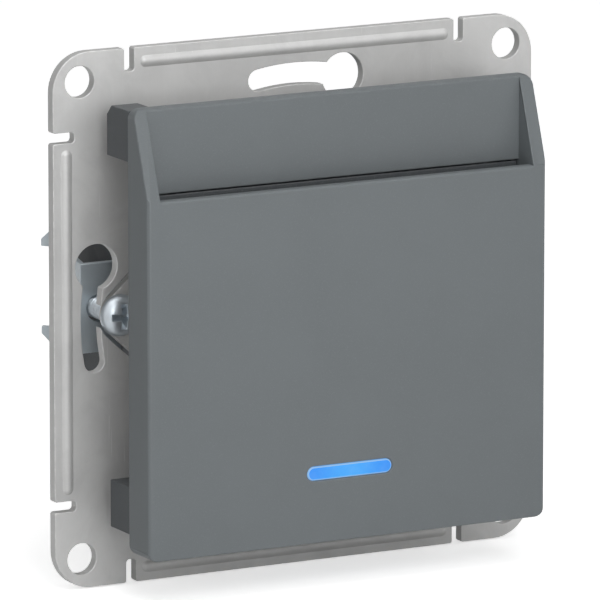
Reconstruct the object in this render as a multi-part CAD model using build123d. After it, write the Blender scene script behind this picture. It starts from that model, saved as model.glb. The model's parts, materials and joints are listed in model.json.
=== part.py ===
from build123d import *
import math
import os

# A flush hotel key card switch. Millimetres, +Z up, front towards -Y.
# The origin is the centre of the support plate's back face, which lies on the wall.

# Common clearances and allowances
overrun = 1.0  # how far every cut runs past what it cuts
slide_gap = 0.3  # between a moving piece and what guides it
seat_gap = 0.05  # between flat faces that rest on each other
pin_gap = 0.04  # radial, in a pin bore

# Support plate
plate_rim = 13.2  # from the opening's edge to the plate's edge
plate_case_gap = 0.5
plate_thickness = 1.5
plate_corner_radius = 5.2
corner_hole_inset = 3.9
corner_hole_diameter = 4.2
notch_corner_distance = 11.1
notch_width = 1.4
notch_depth = 3.1
notch_end_radius = 0.5
notch_flare = 0.2
bead_inset = 1.9
bead_width = 1.6
bead_notch_gap = 1.55
bead_height = 0.4
plate_opening_radius = 2.0

# Keyhole slots for the box screws, concentric with the plate
keyhole_inset = 5.35  # leaves the standard 60.3 mm between opposite box screws
keyhole_width = 2.9
keyhole_big_diameter = 6.1
keyhole_big_angle = 13.5
keyhole_end_angle = 10.5

# Openings in the plate round the claw screws, with the case ears inside them
lobe_projection = 9.0
lobe_half_angle = 42.0
lobe_nose_radius = 3.75
lobe_centre_z = 0.3
ear_gap = 0.7
ear_front_setback = 0.3

# Card holder cover
cover_side = 58.8
cover_front = 16.3
cover_back = 10.7
cover_cheek = 1.9
cover_front_wall = 1.6
cover_edge_radius = 0.5
cover_top_radius = 1.2
cover_corner_radius = 1.4
card_slot_width = 2.4
recess_floor_z = 17.9
recess_back_end_z = 18.1
lip_radius = 0.4

# Light bar
lens_length = 12.5
lens_height = 1.87
lens_centre_x = 0.15
lens_centre_z = -20.1
lens_gap = 0.05
lens_collar = 1.0
lens_collar_depth = 0.8
lens_stem_width = 4.0
lens_stem_setback = 0.2

# Inner frame behind the cover, with the back of the card pocket
guide_slot_setback = 0.2
guide_wall = 1.2
guide_gap = 0.2
guide_rail_width = 1.8
guide_rail_back = 8.2
guide_foot_inset = 0.2
guide_foot_width = 3.9
guide_foot_drop = 2.0
guide_top_foot_back = 4.4
guide_top_foot_low = 22.3
guide_left_foot_high = 29.0
guide_right_foot_high = 28.2
guide_top_foot_chamfer = 1.3
guide_bottom_foot_back = 5.0
guide_bottom_foot_low = -26.8
guide_bottom_foot_high = -20.5
pocket_rib_gap = 0.2
pocket_floor_z = -16.1
pocket_floor_thickness = 1.5
pocket_floor_inner = 10.0
pocket_floor_outer = 24.0
clip_width = 5.0
clip_offset = 15.0
clip_inset = 3.6
clip_thickness = 1.4
clip_nose = 0.8
clip_nose_length = 1.4

# Front half of the case
case_wall = 1.5
front_case_side_lip = 0.8
front_case_end_lip = 2.7
slider_case_gap = 0.4
case_half = 21.8
case_edge_radius = 1.0

# Rear half of the case
base_step = 0.3
base_corner = 6.5
base_flange_lip = 3.8
base_flange_depth = 1.5
fulcrum_projection = 1.4
fulcrum_depth = 4.2
fulcrum_half_height = 6.0

# Case screws
case_screw_inset = 5.8
case_screw_radius = 1.3
case_screw_head_radius = 2.6
case_screw_head_height = 1.2
case_screw_end = 10.0
case_boss_radius = 3.0
screw_slot_width = 0.6
screw_slot_depth = 0.6

# Card slider and its spring
slider_half_width = 7.0
slider_thickness = 1.8
slider_top_z = 5.0
slider_travel = 5.0
pusher_half_width = 6.0
pusher_top_z = -11.0
pusher_thickness = 2.0
pusher_chamfer = 0.8
finger_half_width = 1.5
finger_tip_radius = 0.8
finger_neck_half = 0.45
spring_arm_half_width = 2.2
spring_arm_top_z = 0.6
spring_arm_thickness = 1.6
spring_arm_overhang = 1.8
spring_peg_radius = 0.9
spring_peg_length = 1.8
spring_wall_distance = 2.0
spring_radius = 1.4
spring_wire_radius = 0.19
spring_turns = 9
spring_shelf_z = -13.8
spring_shelf_half_width = 4.0
spring_shelf_overhang = 2.3
slider_rail_width = 1.2
slider_rail_bottom_z = -14.0
slider_stop_height = 1.0

# Contact rocker
pivot_depth = 9.0
finger_arm = 10.0
contact_arm = 7.0
rocker_half_width = 4.0
rocker_boss_radius = 2.3
rocker_arm_thickness = 2.2
fork_prong_thickness = 1.2
fork_prong_length = 1.7
pin_radius = 1.0
blade_thickness = 0.5
blade_half_width = 2.2
blade_end = 8.6
blade_pocket_depth = 2.4
contact_radius = 1.2
contact_head = 0.65
contact_play = 0.12
contact_shank_radius = 0.6

# Terminals: wire, current bar, clamp spring and release lever
terminal_offset_x = 8.0
terminal_inset_z = 7.5
wire_offset = -2.6
wire_bore_radius = 1.7
bar_thickness = 0.6
bar_side_gap = 0.05
bar_half_height = 2.2
bar_length = 8.5
leaf_thickness = 0.4
leaf_half_height = 1.8
leaf_setback = 0.4
leaf_shoulder = 3.2
leaf_shoulder_length = 1.8
leaf_tip = -0.75
leaf_tip_inset = 2.0
lever_inner = 0.5
lever_outer = 3.3
lever_leaf_gap = 0.06
lever_stem_inset = 0.4
lever_half_height = 2.1
lever_projection = 1.0

# Strips that link the contacts to the terminals
strip_thickness = 0.6
strip_half_width = 2.4
fixed_pad_reach = 2.2
contact_end_gap = 0.8
fixed_leg_room = 3.1
cross_strip_distance = 5.0
bracket_inner = 4.6
bracket_half_depth = 3.0
bracket_top_z = 2.4
bracket_bottom_z = -6.5
post_gap = 0.1
rail_inner = 4.2
rail_width = 1.8
partition_thickness = 1.2
partition_reach = 3.8

# Light board
board_half_width = 11.0
board_thickness = 0.8
board_gap = 0.1
board_edge_margin = 1.5
board_bottom_gap = 0.1
led_radius = 1.5
led_gap = 0.5
led_dome_radius = 1.3
resistor_radius = 1.1
resistor_length = 6.0
resistor_centre_x = -5.0
resistor_drop = 2.2
resistor_standoff = 0.3
component_lead_radius = 0.35
capacitor_width = 5.0
capacitor_height = 4.0
capacitor_depth = 2.4
capacitor_centre_x = 3.2
capacitor_drop = 5.0
lead_radius = 0.55
lead_bend_radius = 1.3
lead_case_inset = 3.4
lead_inner_x = 7.0
lead_outer_x = 9.6
lead_riser_depth = 3.2
lead_end_setback = 1.5
common_lead_drop = 0.4

# Claws and their screws
claw_screw_standoff = 4.1
claw_screw_radius = 1.5
claw_screw_end = 9.0
claw_head_radius = 2.8
claw_head_height = 1.7
claw_head_rounding = 1.0
cross_recess_length = 3.3
cross_recess_width = 0.75
cross_recess_depth = 1.1
claw_case_gap = 0.7
claw_thickness = 1.0
claw_corner_overhang = 2.7
claw_lean = 3.7
claw_tip_flare = 1.3
claw_tip_length = 1.7
claw_tip_depth = 20.9
claw_half_height = 5.95
claw_hole_radius = 1.85
claw_slot_half_height = 1.8
claw_slot_length = 5.7
tooth_inner = 5.4
tooth_outer = 8.6
tooth_length = 1.9
tooth_rake = 2.2


# Sizes that follow from those above: plate and case
base_half = case_half - base_step
plate_opening = 2 * (case_half + plate_case_gap)
plate_side = plate_opening + 2 * plate_rim
plate_half = plate_side / 2
corner_hole_pitch = plate_side - 2 * corner_hole_inset
notch_offset = plate_half - notch_corner_distance
bead_offset = plate_half - bead_inset
bead_length = 2 * (notch_offset - bead_notch_gap)
bead_radius = (bead_width ** 2 / 4 + bead_height ** 2) / (2 * bead_height)
box_screw_pitch = plate_side - 2 * keyhole_inset
lobe_reach = case_half + lobe_projection
front_case_half_width = case_half + front_case_side_lip
front_case_half_height = case_half + front_case_end_lip
clip_centre_z = front_case_half_height - clip_inset
base_flange_half_height = case_half + base_flange_lip
base_inner = base_half - case_wall
fulcrum_reach = base_half + fulcrum_projection
case_screw_offset = case_half - case_screw_inset

# Sizes that follow: depths, from the cover's front back to the slider
cover_half = cover_side / 2
pocket_half = cover_half - cover_cheek
slot_front = cover_front - cover_front_wall
slot_back = slot_front - card_slot_width
guide_half = pocket_half - guide_gap
guide_wall_front = slot_back - guide_slot_setback
guide_wall_back = guide_wall_front - guide_wall
lens_stem_back = guide_wall_back - lens_stem_setback
led_front = lens_stem_back - led_gap
slider_front = guide_wall_back - slide_gap
slider_back = slider_front - slider_thickness
front_case_front = slider_back - slider_case_gap
front_inner = front_case_front - case_wall
spring_axis_depth = front_inner - spring_wall_distance
spring_arm_back = spring_axis_depth - spring_arm_overhang
spring_shelf_back = spring_axis_depth - spring_shelf_overhang
spring_arm_bottom_z = spring_arm_top_z - spring_arm_thickness
pusher_bottom_z = pusher_top_z - pusher_thickness
pusher_front = slot_front - slide_gap

# Sizes that follow: rocker, contacts and terminals
tilt = math.degrees(math.asin(slider_travel / 2 / finger_arm))
finger_z = slider_travel / 2
finger_tip_y = pivot_depth - finger_arm
fixed_leg_depth = pivot_depth + blade_end + contact_end_gap
base_floor = fixed_leg_depth + fixed_leg_room
base_depth = base_floor + case_wall
bar_front = base_floor - bar_length
bar_outer = wire_offset - wire_bore_radius - bar_side_gap - bar_thickness
cross_strip_front = bar_front + strip_thickness
terminal_offset_z = base_half - terminal_inset_z
cross_strip_z = terminal_offset_z - cross_strip_distance
partition_inner_z = terminal_offset_z - partition_reach
leaf_front = bar_front + leaf_setback
leaf_shoulder_depth = leaf_front + leaf_shoulder_length
leaf_tip_depth = base_floor - leaf_tip_inset
leaf_slope = (leaf_tip_depth - leaf_shoulder_depth) / (leaf_shoulder - leaf_tip)
lever_front = leaf_shoulder_depth + (leaf_shoulder - lever_inner) * leaf_slope + lever_leaf_gap
lever_back = base_floor - slide_gap
lever_end = base_depth + lever_projection

# Sizes that follow: light board and claws
lead_start_z = -(case_half - case_wall - lead_case_inset)
board_top_z = lead_start_z + board_edge_margin
resistor_centre_z = board_top_z - resistor_drop
capacitor_centre_z = board_top_z - capacitor_drop
lead_end_depth = bar_front - lead_end_setback
common_lead_end_z = common_lead_drop - terminal_offset_z
claw_rest_y = fulcrum_depth + slide_gap
claw_screw_x = case_half + claw_screw_standoff
claw_pivot_x = base_half + claw_case_gap
claw_corner_x = claw_screw_x + claw_corner_overhang
claw_waist_x = claw_corner_x - claw_lean
claw_tip_x = claw_waist_x + claw_tip_flare
claw_waist_depth = claw_tip_depth - claw_tip_length
claw_slot_end = claw_rest_y + claw_slot_length
tooth_root_depth = claw_tip_depth - tooth_length

parts = {}


def block(x0, x1, y0, y1, z0, z1):
    """A box between two corners."""
    middle = Pos((x0 + x1) / 2, (y0 + y1) / 2, (z0 + z1) / 2)
    return middle * Box(abs(x1 - x0), abs(y1 - y0), abs(z1 - z0))


def rod_x(radius, x0, x1, y, z):
    """A round rod along X."""
    return Pos((x0 + x1) / 2, y, z) * Rot(0, 90, 0) * Cylinder(radius, abs(x1 - x0))


def rod_y(radius, y0, y1, x, z):
    """A round rod along Y."""
    return Pos(x, (y0 + y1) / 2, z) * Rot(90, 0, 0) * Cylinder(radius, abs(y1 - y0))


def rod_z(radius, z0, z1, x, y):
    """A round rod along Z."""
    return Pos(x, y, (z0 + z1) / 2) * Cylinder(radius, abs(z1 - z0))


def slab(face, y0, y1):
    """A face drawn as seen from the front, X to the right and Z up, carried from y0 to y1."""
    return Pos(0, y1, 0) * Rot(90, 0, 0) * extrude(face, abs(y1 - y0))


def profile_along_z(points, z0, z1):
    """A closed outline of (x, y) points, carried from z0 up to z1."""
    outline = [(x, y, z0) for x, y in points]
    return extrude(make_face(Polyline(*outline, close=True)), z1 - z0, dir=(0, 0, 1))


def lobe(inset):
    """The rounded nose round a claw screw, right side, drawn from the front."""
    half_angle = math.radians(lobe_half_angle)
    tip = lobe_reach - inset / math.sin(half_angle)
    root = case_half - overrun
    half = (tip - root) * math.tan(half_angle)
    nose = Polygon((root, -half), (tip, 0), (root, half), align=None)
    corner = nose.vertices().sort_by(Axis.X)[-1]
    return Pos(0, -lobe_centre_z) * fillet(corner, lobe_nose_radius - inset)


def both_lobes(inset):
    """The nose on the right and its half turn about the middle on the left."""
    right = lobe(inset)
    return [right, Rot(0, 0, 180) * right]


def keyhole(turn):
    """A box screw slot on the pitch circle, its big hole at one end, turned about the middle."""
    radius = box_screw_pitch / 2
    spread = keyhole_big_angle + keyhole_end_angle
    arc = CenterArc((0, 0), radius, 90 - keyhole_big_angle + turn, spread)
    big = Pos(arc @ 0) * Circle(keyhole_big_diameter / 2)
    end = Pos(arc @ 1) * Circle(keyhole_width / 2)
    band = SlotArc(arc, keyhole_width)
    return [band, big, end]


def notch(turn, side):
    """One edge notch with a rounded end, its mouth a little flared."""
    end = plate_half - notch_depth
    mouth = plate_half + overrun
    cut = Pos(side * notch_offset, (end + mouth) / 2) * Rectangle(notch_width, mouth - end)
    inner = cut.vertices().sort_by(Axis.Y)[:2]
    cut = fillet(inner, notch_end_radius)
    flare_side = (notch_width / 2 + notch_flare) * math.sqrt(2)
    flare = Pos(side * notch_offset, plate_half) * Rot(0, 0, 45) * Rectangle(flare_side, flare_side)
    return Rot(0, 0, turn) * (cut + flare)


def support_plate():
    """Pressed steel plate with its holes, slots, notches and stiffening beads."""
    sheet = RectangleRounded(plate_side, plate_side, plate_corner_radius)
    opening = RectangleRounded(plate_opening, plate_opening, plate_opening_radius)
    cuts = [opening] + both_lobes(0)
    for x, z in corner_places(corner_hole_pitch):
        cuts.append(Pos(x, z) * Circle(corner_hole_diameter / 2))
    for quarter in range(4):
        turn = 90 * quarter
        cuts += keyhole(turn)
        cuts += [notch(turn, side) for side in (-1, 1)]
    for cut in cuts:
        sheet = sheet - cut
    plate = slab(sheet, -plate_thickness, 0)
    for quarter in range(4):
        plate = plate + Rot(0, 90 * quarter, 0) * bead()
    return plate


def bead():
    """The top stiffening bead: a round ridge with ball ends, half sunk in the plate."""
    crown = -plate_thickness - bead_height
    reach = bead_length / 2 - bead_width / 2
    axis = crown + bead_radius
    ridge = rod_x(bead_radius, -reach, reach, axis, bead_offset)
    for side in (-1, 1):
        ridge += Pos(side * reach, axis, bead_offset) * Sphere(bead_radius)
    return ridge & block(-plate_half, plate_half, crown - overrun, -plate_thickness / 2,
                         bead_offset - bead_width, bead_offset + bead_width)


def corner_places(pitch):
    """The four corners of a square of that pitch."""
    half = pitch / 2
    return [(x, z) for x in (-half, half) for z in (-half, half)]


def front_cover():
    """Card holder shell: front wall, cheeks with slanted fronts, and the open recess on top."""
    outline = [
        (-cover_front, -cover_half),
        (-cover_front, recess_floor_z),
        (-slot_back, cover_half),
        (-cover_back, cover_half),
        (-cover_back, -cover_half),
    ]
    side_view = Polygon(*outline, align=None)
    top_corner = side_view.vertices().sort_by(Axis.Y)[-2:].sort_by(Axis.X)[0]
    side_view = fillet(top_corner, cover_top_radius)
    low_corner = side_view.vertices().sort_by(Axis.Y)[:2].sort_by(Axis.X)[0]
    side_view = fillet(low_corner, cover_edge_radius)
    plan = Pos(0, -(cover_front + cover_back) / 2) * Rectangle(cover_side, cover_front - cover_back)
    plan = fillet(plan.vertices().sort_by(Axis.Y)[:2], cover_edge_radius)
    shell = extrude(Plane.YZ * side_view, cover_half, both=True)
    shell = shell & extrude(plan, cover_half, both=True)
    front_view = RectangleRounded(cover_side, cover_side, cover_corner_radius)
    shell = shell & slab(front_view, -cover_front, -cover_back)
    cavity_low = -cover_half + cover_front_wall
    cuts = [
        block(-pocket_half, pocket_half, -slot_front, -cover_back + overrun,
              cavity_low, recess_back_end_z),
        block(-pocket_half, pocket_half, -slot_front, -slot_back,
              cavity_low, recess_floor_z + overrun),
        block(-pocket_half, pocket_half, -cover_front - overrun, -slot_back,
              recess_floor_z - cover_front_wall, cover_half + overrun),
    ]
    for cut in cuts:
        shell = shell - cut
    shell = shell + front_lip()
    window = SlotOverall(lens_length + 2 * lens_gap, lens_height + 2 * lens_gap)
    window = Pos(lens_centre_x, lens_centre_z) * window
    return shell - slab(window, -cover_front - overrun, -slot_front + overrun)


def front_lip():
    """The rounded top of the front wall, let into both cheeks."""
    low = recess_floor_z - cover_front_wall
    centre = Pos(-(cover_front + slot_front) / 2, (low + recess_floor_z) / 2)
    section = centre * Rectangle(cover_front_wall, recess_floor_z - low)
    section = fillet(section.vertices().sort_by(Axis.Y)[-2:], lip_radius)
    return extrude(Plane.YZ * section, pocket_half + cover_cheek / 2, both=True)


def indicator_lens():
    """Clear blue light bar with a collar behind the front wall and a stem to the lamp."""
    centre = Pos(lens_centre_x, lens_centre_z)
    bar = slab(centre * SlotOverall(lens_length, lens_height), -cover_front, -slot_front)
    collar = centre * SlotOverall(lens_length + 2 * lens_collar, lens_height + 2 * lens_collar)
    collar_front = -slot_front + seat_gap
    collar = slab(collar, collar_front, collar_front + lens_collar_depth)
    neck = centre * SlotOverall(lens_length, lens_height)
    neck = slab(neck, -slot_front, collar_front + lens_collar_depth)
    stem = slab(centre * Rectangle(lens_stem_width, lens_height), collar_front, -lens_stem_back)
    return bar + neck + collar + stem


def guide_foot(side, low, high, back, chamfer_size):
    """A foot of the inner frame behind the cover's cheek, its top sloping inwards."""
    outer = cover_half - guide_foot_inset
    front = -cover_back + guide_gap
    foot = block(side * (outer - guide_foot_width), side * outer, front, -back, low, high)
    if chamfer_size:
        corner = foot.edges().filter_by(Axis.X).group_by(Axis.Z)[-1].sort_by(Axis.Y)[-1]
        foot = chamfer(corner, chamfer_size)
    inner = outer - guide_foot_width
    slope = Polygon((side * outer, high), (side * inner, high + overrun), (side * inner, high - guide_foot_drop),
                    align=None)
    return foot - slab(slope, front - overrun, -back + overrun)


def card_guide():
    """Inner frame: back wall of the card pocket, side rails, feet, floor ribs and clips."""
    low = -cover_half + cover_front_wall + guide_gap
    frame = block(-guide_half, guide_half, -guide_wall_front, -guide_wall_back,
                  low, recess_back_end_z - guide_gap)
    rail_front = -cover_back + guide_gap
    for side in (-1, 1):
        inner = side * (guide_half - guide_rail_width)
        frame += block(inner, side * guide_half, -guide_wall_back, -guide_rail_back,
                       low, recess_back_end_z)
        frame += block(inner, side * guide_half, rail_front, -guide_rail_back,
                       low, guide_right_foot_high)
        top = guide_left_foot_high if side < 0 else guide_right_foot_high
        frame += guide_foot(side, guide_top_foot_low, top,
                            guide_top_foot_back, guide_top_foot_chamfer)
        frame += guide_foot(side, guide_bottom_foot_low, guide_bottom_foot_high,
                            guide_bottom_foot_back, 0)
        frame += block(side * pocket_floor_inner, side * pocket_floor_outer,
                       -slot_front + pocket_rib_gap, -guide_wall_back,
                       pocket_floor_z - pocket_floor_thickness, pocket_floor_z)
        for up in (-1, 1):
            frame += clip_arm(side * clip_offset, up)
    slot_low = pusher_bottom_z - slider_travel - slide_gap
    slot_half = pusher_half_width + slide_gap
    frame -= block(-slot_half, slot_half, -guide_wall_front - overrun, -guide_wall_back + overrun,
                   slot_low, pusher_top_z + slide_gap)
    stem_hole = Rectangle(lens_stem_width + 2 * slide_gap, lens_height + 2 * slide_gap)
    stem_hole = Pos(lens_centre_x, lens_centre_z) * stem_hole
    return frame - slab(stem_hole, -guide_wall_front - overrun, -guide_wall_back + overrun)


def clip_arm(x, up):
    """A hooked arm that snaps behind the front wall of the case."""
    half = clip_width / 2
    inner = up * (clip_centre_z - clip_thickness / 2)
    outer = up * (clip_centre_z + clip_thickness / 2)
    catch = front_inner - seat_gap
    tip = catch - clip_nose_length
    root = -guide_wall_back - guide_wall / 2
    nose = block(x - half, x + half, -catch, -tip, inner, outer + up * clip_nose)
    if up < 0:
        return nose + block(x - half, x + half, root, -tip, inner, outer)
    tie_front = -cover_back + guide_gap
    tie_back = -front_case_front - slide_gap
    tie_high = recess_back_end_z - guide_gap
    tie_low = tie_high - clip_width
    arm = block(x - half, x + half, tie_front, -tip, inner, outer)
    arm += block(x - half, x + half, tie_front, tie_back, tie_low, outer)
    return nose + arm + block(x - half, x + half, root, tie_back, tie_low, tie_high)


def mechanism_front():
    """Front half of the case, with the slider's guides, the claw ears and the screw bosses."""
    front, inner = -front_case_front, -front_inner
    wide, high = front_case_half_width, front_case_half_height
    body = block(-wide, wide, front, -plate_thickness, -high, high)
    body = fillet(body.edges().filter_by(Axis.Y), case_edge_radius)
    neck = block(-case_half, case_half, -plate_thickness - overrun, -seat_gap, -case_half, case_half)
    body += fillet(neck.edges().filter_by(Axis.Y), plate_opening_radius)
    body -= block(-wide + case_wall, wide - case_wall, inner, -plate_thickness - case_wall,
                  -high + case_wall, high - case_wall)
    hollow = case_half - case_wall
    body -= block(-hollow, hollow, inner, overrun, -hollow, hollow)
    for ear in both_lobes(ear_gap):
        plate = slab(ear, -plate_thickness + ear_front_setback, -seat_gap)
        body += plate - block(-hollow, hollow, -plate_thickness, overrun, -hollow, hollow)
    for turn in (0, 180):
        hole = rod_y(claw_screw_radius + pin_gap * 3, -plate_thickness - overrun, overrun,
                     claw_screw_x, -lobe_centre_z)
        body -= Rot(0, turn, 0) * hole
    for side in (-1, 1):
        body += rod_y(case_boss_radius, inner, -seat_gap, side * case_screw_offset, 0)
        body -= rod_y(case_screw_radius + pin_gap, front - overrun, overrun,
                      side * case_screw_offset, 0)
        body += slider_rail(side)
        for up in (-1, 1):
            body -= clip_window(side * clip_offset, up)
    body += slider_stop() + spring_shelf()
    slot_low = spring_arm_bottom_z - slider_travel - slide_gap
    slot_high = finger_z + finger_tip_radius + slide_gap
    body -= block(-spring_arm_half_width - slide_gap, spring_arm_half_width + slide_gap,
                  front - overrun, inner + seat_gap, slot_low, slot_high)
    lamp_hole = rod_y(led_radius + slide_gap, front - overrun, inner + seat_gap,
                      lens_centre_x, lens_centre_z)
    return body - lamp_hole


def slider_rail(side):
    """A rail on the case front that guides one edge of the card slider."""
    inner = slider_half_width + slide_gap
    return block(side * inner, side * (inner + slider_rail_width),
                 -slider_front, -front_case_front + seat_gap,
                 slider_rail_bottom_z, slider_top_z + slide_gap + slider_stop_height)


def slider_stop():
    """A ledge above the slider that it rests against."""
    low = slider_top_z + slide_gap
    inner = slider_half_width + slide_gap + slider_rail_width
    return block(-inner, inner, -slider_front, -front_case_front + seat_gap, low, low + slider_stop_height)


def spring_shelf():
    """The shelf that carries the return spring, with a peg inside its coils."""
    shelf = block(-spring_shelf_half_width, spring_shelf_half_width,
                  -front_inner - seat_gap, -spring_shelf_back,
                  spring_shelf_z - case_wall, spring_shelf_z)
    peg = rod_z(spring_peg_radius, spring_shelf_z - seat_gap, spring_shelf_z + spring_peg_length,
                0, -spring_axis_depth)
    return shelf + peg


def clip_window(x, up):
    """The window in the case front for one clip arm."""
    half = clip_width / 2 + slide_gap
    inner = up * (clip_centre_z - clip_thickness / 2 - slide_gap)
    outer = up * (clip_centre_z + clip_thickness / 2 + slide_gap)
    return block(x - half, x + half, -front_case_front - overrun, -front_inner + overrun / 2,
                 inner, outer)


def octagon(half, corner, y0, y1):
    """A square block with its four edges along Y cut off."""
    body = block(-half, half, y0, y1, -half, half)
    return chamfer(body.edges().filter_by(Axis.Y), corner)


def mechanism_base():
    """Rear half of the case, with posts for the screws and strips, and the wire entries."""
    base = octagon(base_half, base_corner, 0, base_depth)
    rear_edges = base.edges().group_by(Axis.Y)[-1]
    base = fillet(rear_edges, cover_edge_radius)
    base += block(-case_half, case_half, 0, base_flange_depth,
                  -base_flange_half_height, base_flange_half_height)
    base -= octagon(base_inner, base_corner - case_wall / 2, -overrun, base_floor)
    for side in (-1, 1):
        base += block(side * (base_half - case_wall / 2), side * fulcrum_reach, 0, fulcrum_depth,
                      -fulcrum_half_height, fulcrum_half_height)
        base += rod_y(case_boss_radius, 0, base_floor + seat_gap, side * case_screw_offset, 0)
        base -= rod_y(case_screw_radius + pin_gap, -overrun, case_screw_end + overrun,
                      side * case_screw_offset, 0)
        base += strip_rail(side) + leg_post(side) + partition(side)
        for across in (-1, 1):
            base -= terminal_holes(across * terminal_offset_x, side * terminal_offset_z)
    return base


def strip_rail(side):
    """A rail from the rear wall that carries one side of the pivot bracket."""
    top = bracket_bottom_z - strip_thickness - post_gap
    return block(side * rail_inner, side * (rail_inner + rail_width), pivot_depth - bracket_half_depth,
                 base_floor + seat_gap, top - rail_width, top)


def leg_post(up):
    """A post behind the upright leg of a fixed contact strip."""
    low = fixed_leg_low() + strip_thickness
    return block(-strip_half_width, strip_half_width, fixed_leg_depth + strip_thickness + post_gap,
                 base_floor + seat_gap, up * low, up * (cross_strip_z - post_gap))


def partition(up):
    """The wall between two terminals."""
    half = partition_thickness / 2
    return block(-half, half, leaf_front, base_floor + seat_gap,
                 up * partition_inner_z, up * (base_inner + seat_gap))


def terminal_holes(x, z):
    """The wire entry and the lever opening of one terminal."""
    wire = rod_y(wire_bore_radius, base_floor - overrun, base_depth + overrun, x + wire_offset, z)
    half = lever_half_height - lever_stem_inset + slide_gap
    margin = lever_stem_inset - slide_gap
    lever = block(x + lever_inner + margin, x + lever_outer - margin,
                  base_floor - overrun, base_depth + overrun, z - half, z + half)
    return wire + lever


def case_screws():
    """Two screws that draw the case halves together on the plate."""
    screws = []
    for side in (-1, 1):
        x = side * case_screw_offset
        head_back = -front_case_front - seat_gap
        head = rod_y(case_screw_head_radius, head_back - case_screw_head_height, head_back, x, 0)
        head = fillet(head.edges().group_by(Axis.Y)[0], case_screw_head_height / 3)
        slot = block(x - case_screw_head_radius - overrun, x + case_screw_head_radius + overrun,
                     head_back - case_screw_head_height - overrun,
                     head_back - case_screw_head_height + screw_slot_depth,
                     -screw_slot_width / 2, screw_slot_width / 2)
        shank = rod_y(case_screw_radius, head_back, case_screw_end, x, 0)
        screws.append(head - slot + shank)
    return screws


def card_slider():
    """Pusher plate with the card tab in front, and the finger and spring arm behind."""
    half = slider_half_width
    slider = block(-half, half, -slider_front, -slider_back, pusher_bottom_z, slider_top_z)
    tab = block(-pusher_half_width, pusher_half_width, -pusher_front, -slider_front + seat_gap,
                pusher_bottom_z, pusher_top_z)
    tab = chamfer(tab.edges().filter_by(Axis.X).group_by(Axis.Z)[0].sort_by(Axis.Y)[0], pusher_chamfer)
    finger = block(-finger_half_width, finger_half_width, -slider_back - seat_gap, finger_tip_y,
                   finger_z - finger_neck_half, finger_z + finger_neck_half)
    tip = rod_x(finger_tip_radius, -finger_half_width, finger_half_width, finger_tip_y, finger_z)
    arm = block(-spring_arm_half_width, spring_arm_half_width, -slider_back - seat_gap, -spring_arm_back,
                spring_arm_bottom_z, spring_arm_top_z)
    peg = rod_z(spring_peg_radius, spring_arm_bottom_z - spring_peg_length, spring_arm_bottom_z + seat_gap,
                0, -spring_axis_depth)
    return slider + tab + finger + tip + arm + peg


def slider_spring():
    """Return spring under the slider's arm: one round wire on a helix."""
    low = spring_shelf_z + spring_wire_radius + seat_gap
    high = spring_arm_bottom_z - spring_wire_radius - seat_gap
    pitch = (high - low) / spring_turns
    path = Helix(pitch, high - low, spring_radius)
    section = Plane(origin=path @ 0, z_dir=path % 0) * Circle(spring_wire_radius)
    coil = sweep(section, path=path, is_frenet=True)
    return Pos(0, -spring_axis_depth, low) * coil


def spring_report():
    """The least gap between neighbouring turns of the return spring, measured on points."""
    low = spring_shelf_z + spring_wire_radius + seat_gap
    high = spring_arm_bottom_z - spring_wire_radius - seat_gap
    steps = 36
    points = []
    for n in range(steps * spring_turns + 1):
        angle = 2 * math.pi * n / steps
        z = (high - low) * n / (steps * spring_turns)
        points.append((spring_radius * math.cos(angle), spring_radius * math.sin(angle), z))
    least = min(
        math.dist(a, b) for i, a in enumerate(points) for b in points[i + steps // 2:]
    )
    print(f"slider_spring least gap to itself {least - 2 * spring_wire_radius:.3f} mm")


def at_tilt(angle):
    """A frame on the pivot axis, Y along the rocker's arms, tipped about X."""
    return Pos(0, pivot_depth, 0) * Rot(angle, 0, 0)


def contact_rocker():
    """Insulating lever: boss round the pin, arm with the fork in front, blade holder behind."""
    half = rocker_half_width
    thick = rocker_arm_thickness / 2
    boss = rod_x(rocker_boss_radius, -half, half, 0, 0)
    fork_gap = finger_tip_radius + slide_gap / 2
    fork_root = -finger_arm + finger_tip_radius + slide_gap * 2
    arm = block(-finger_half_width, finger_half_width, fork_root, 0, -thick, thick)
    fork_back = block(-finger_half_width, finger_half_width, fork_root, fork_root + fork_prong_thickness,
                      -fork_gap - fork_prong_thickness, fork_gap + fork_prong_thickness)
    rocker = boss + arm + fork_back
    for up in (-1, 1):
        rocker += block(-finger_half_width, finger_half_width, fork_root - fork_prong_length,
                        fork_root + seat_gap, up * fork_gap, up * (fork_gap + fork_prong_thickness))
    holder = block(-blade_half_width - case_wall / 2, blade_half_width + case_wall / 2, 0,
                   rocker_boss_radius + blade_pocket_depth, -thick, thick)
    rocker += holder
    rocker -= block(-blade_half_width - seat_gap, blade_half_width + seat_gap,
                    pin_radius + blade_thickness, blade_end,
                    -blade_thickness / 2 - seat_gap / 2, blade_thickness / 2 + seat_gap / 2)
    rocker -= rod_x(pin_radius + pin_gap, -half - overrun, half + overrun, 0, 0)
    return at_tilt(-tilt) * rocker


def contact_blade():
    """Brass blade held in the rocker, with the hole for the contact rivet."""
    blade = block(-blade_half_width, blade_half_width, pin_radius + blade_thickness, blade_end,
                  -blade_thickness / 2, blade_thickness / 2)
    hole = rod_z(contact_shank_radius + pin_gap, -overrun, overrun, 0, contact_arm)
    return at_tilt(-tilt) * (blade - hole)


def moving_contact():
    """Silver rivet through the blade, with a head on both sides."""
    half = blade_thickness / 2
    rivet = rod_z(contact_shank_radius, -half - seat_gap, half + seat_gap, 0, contact_arm)
    for up in (-1, 1):
        head = rod_z(contact_radius, up * half, up * (half + contact_head), 0, contact_arm)
        rim = head.edges().group_by(Axis.Z)[0 if up < 0 else -1]
        rivet += chamfer(rim, contact_head / 3)
    return at_tilt(-tilt) * rivet


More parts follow.
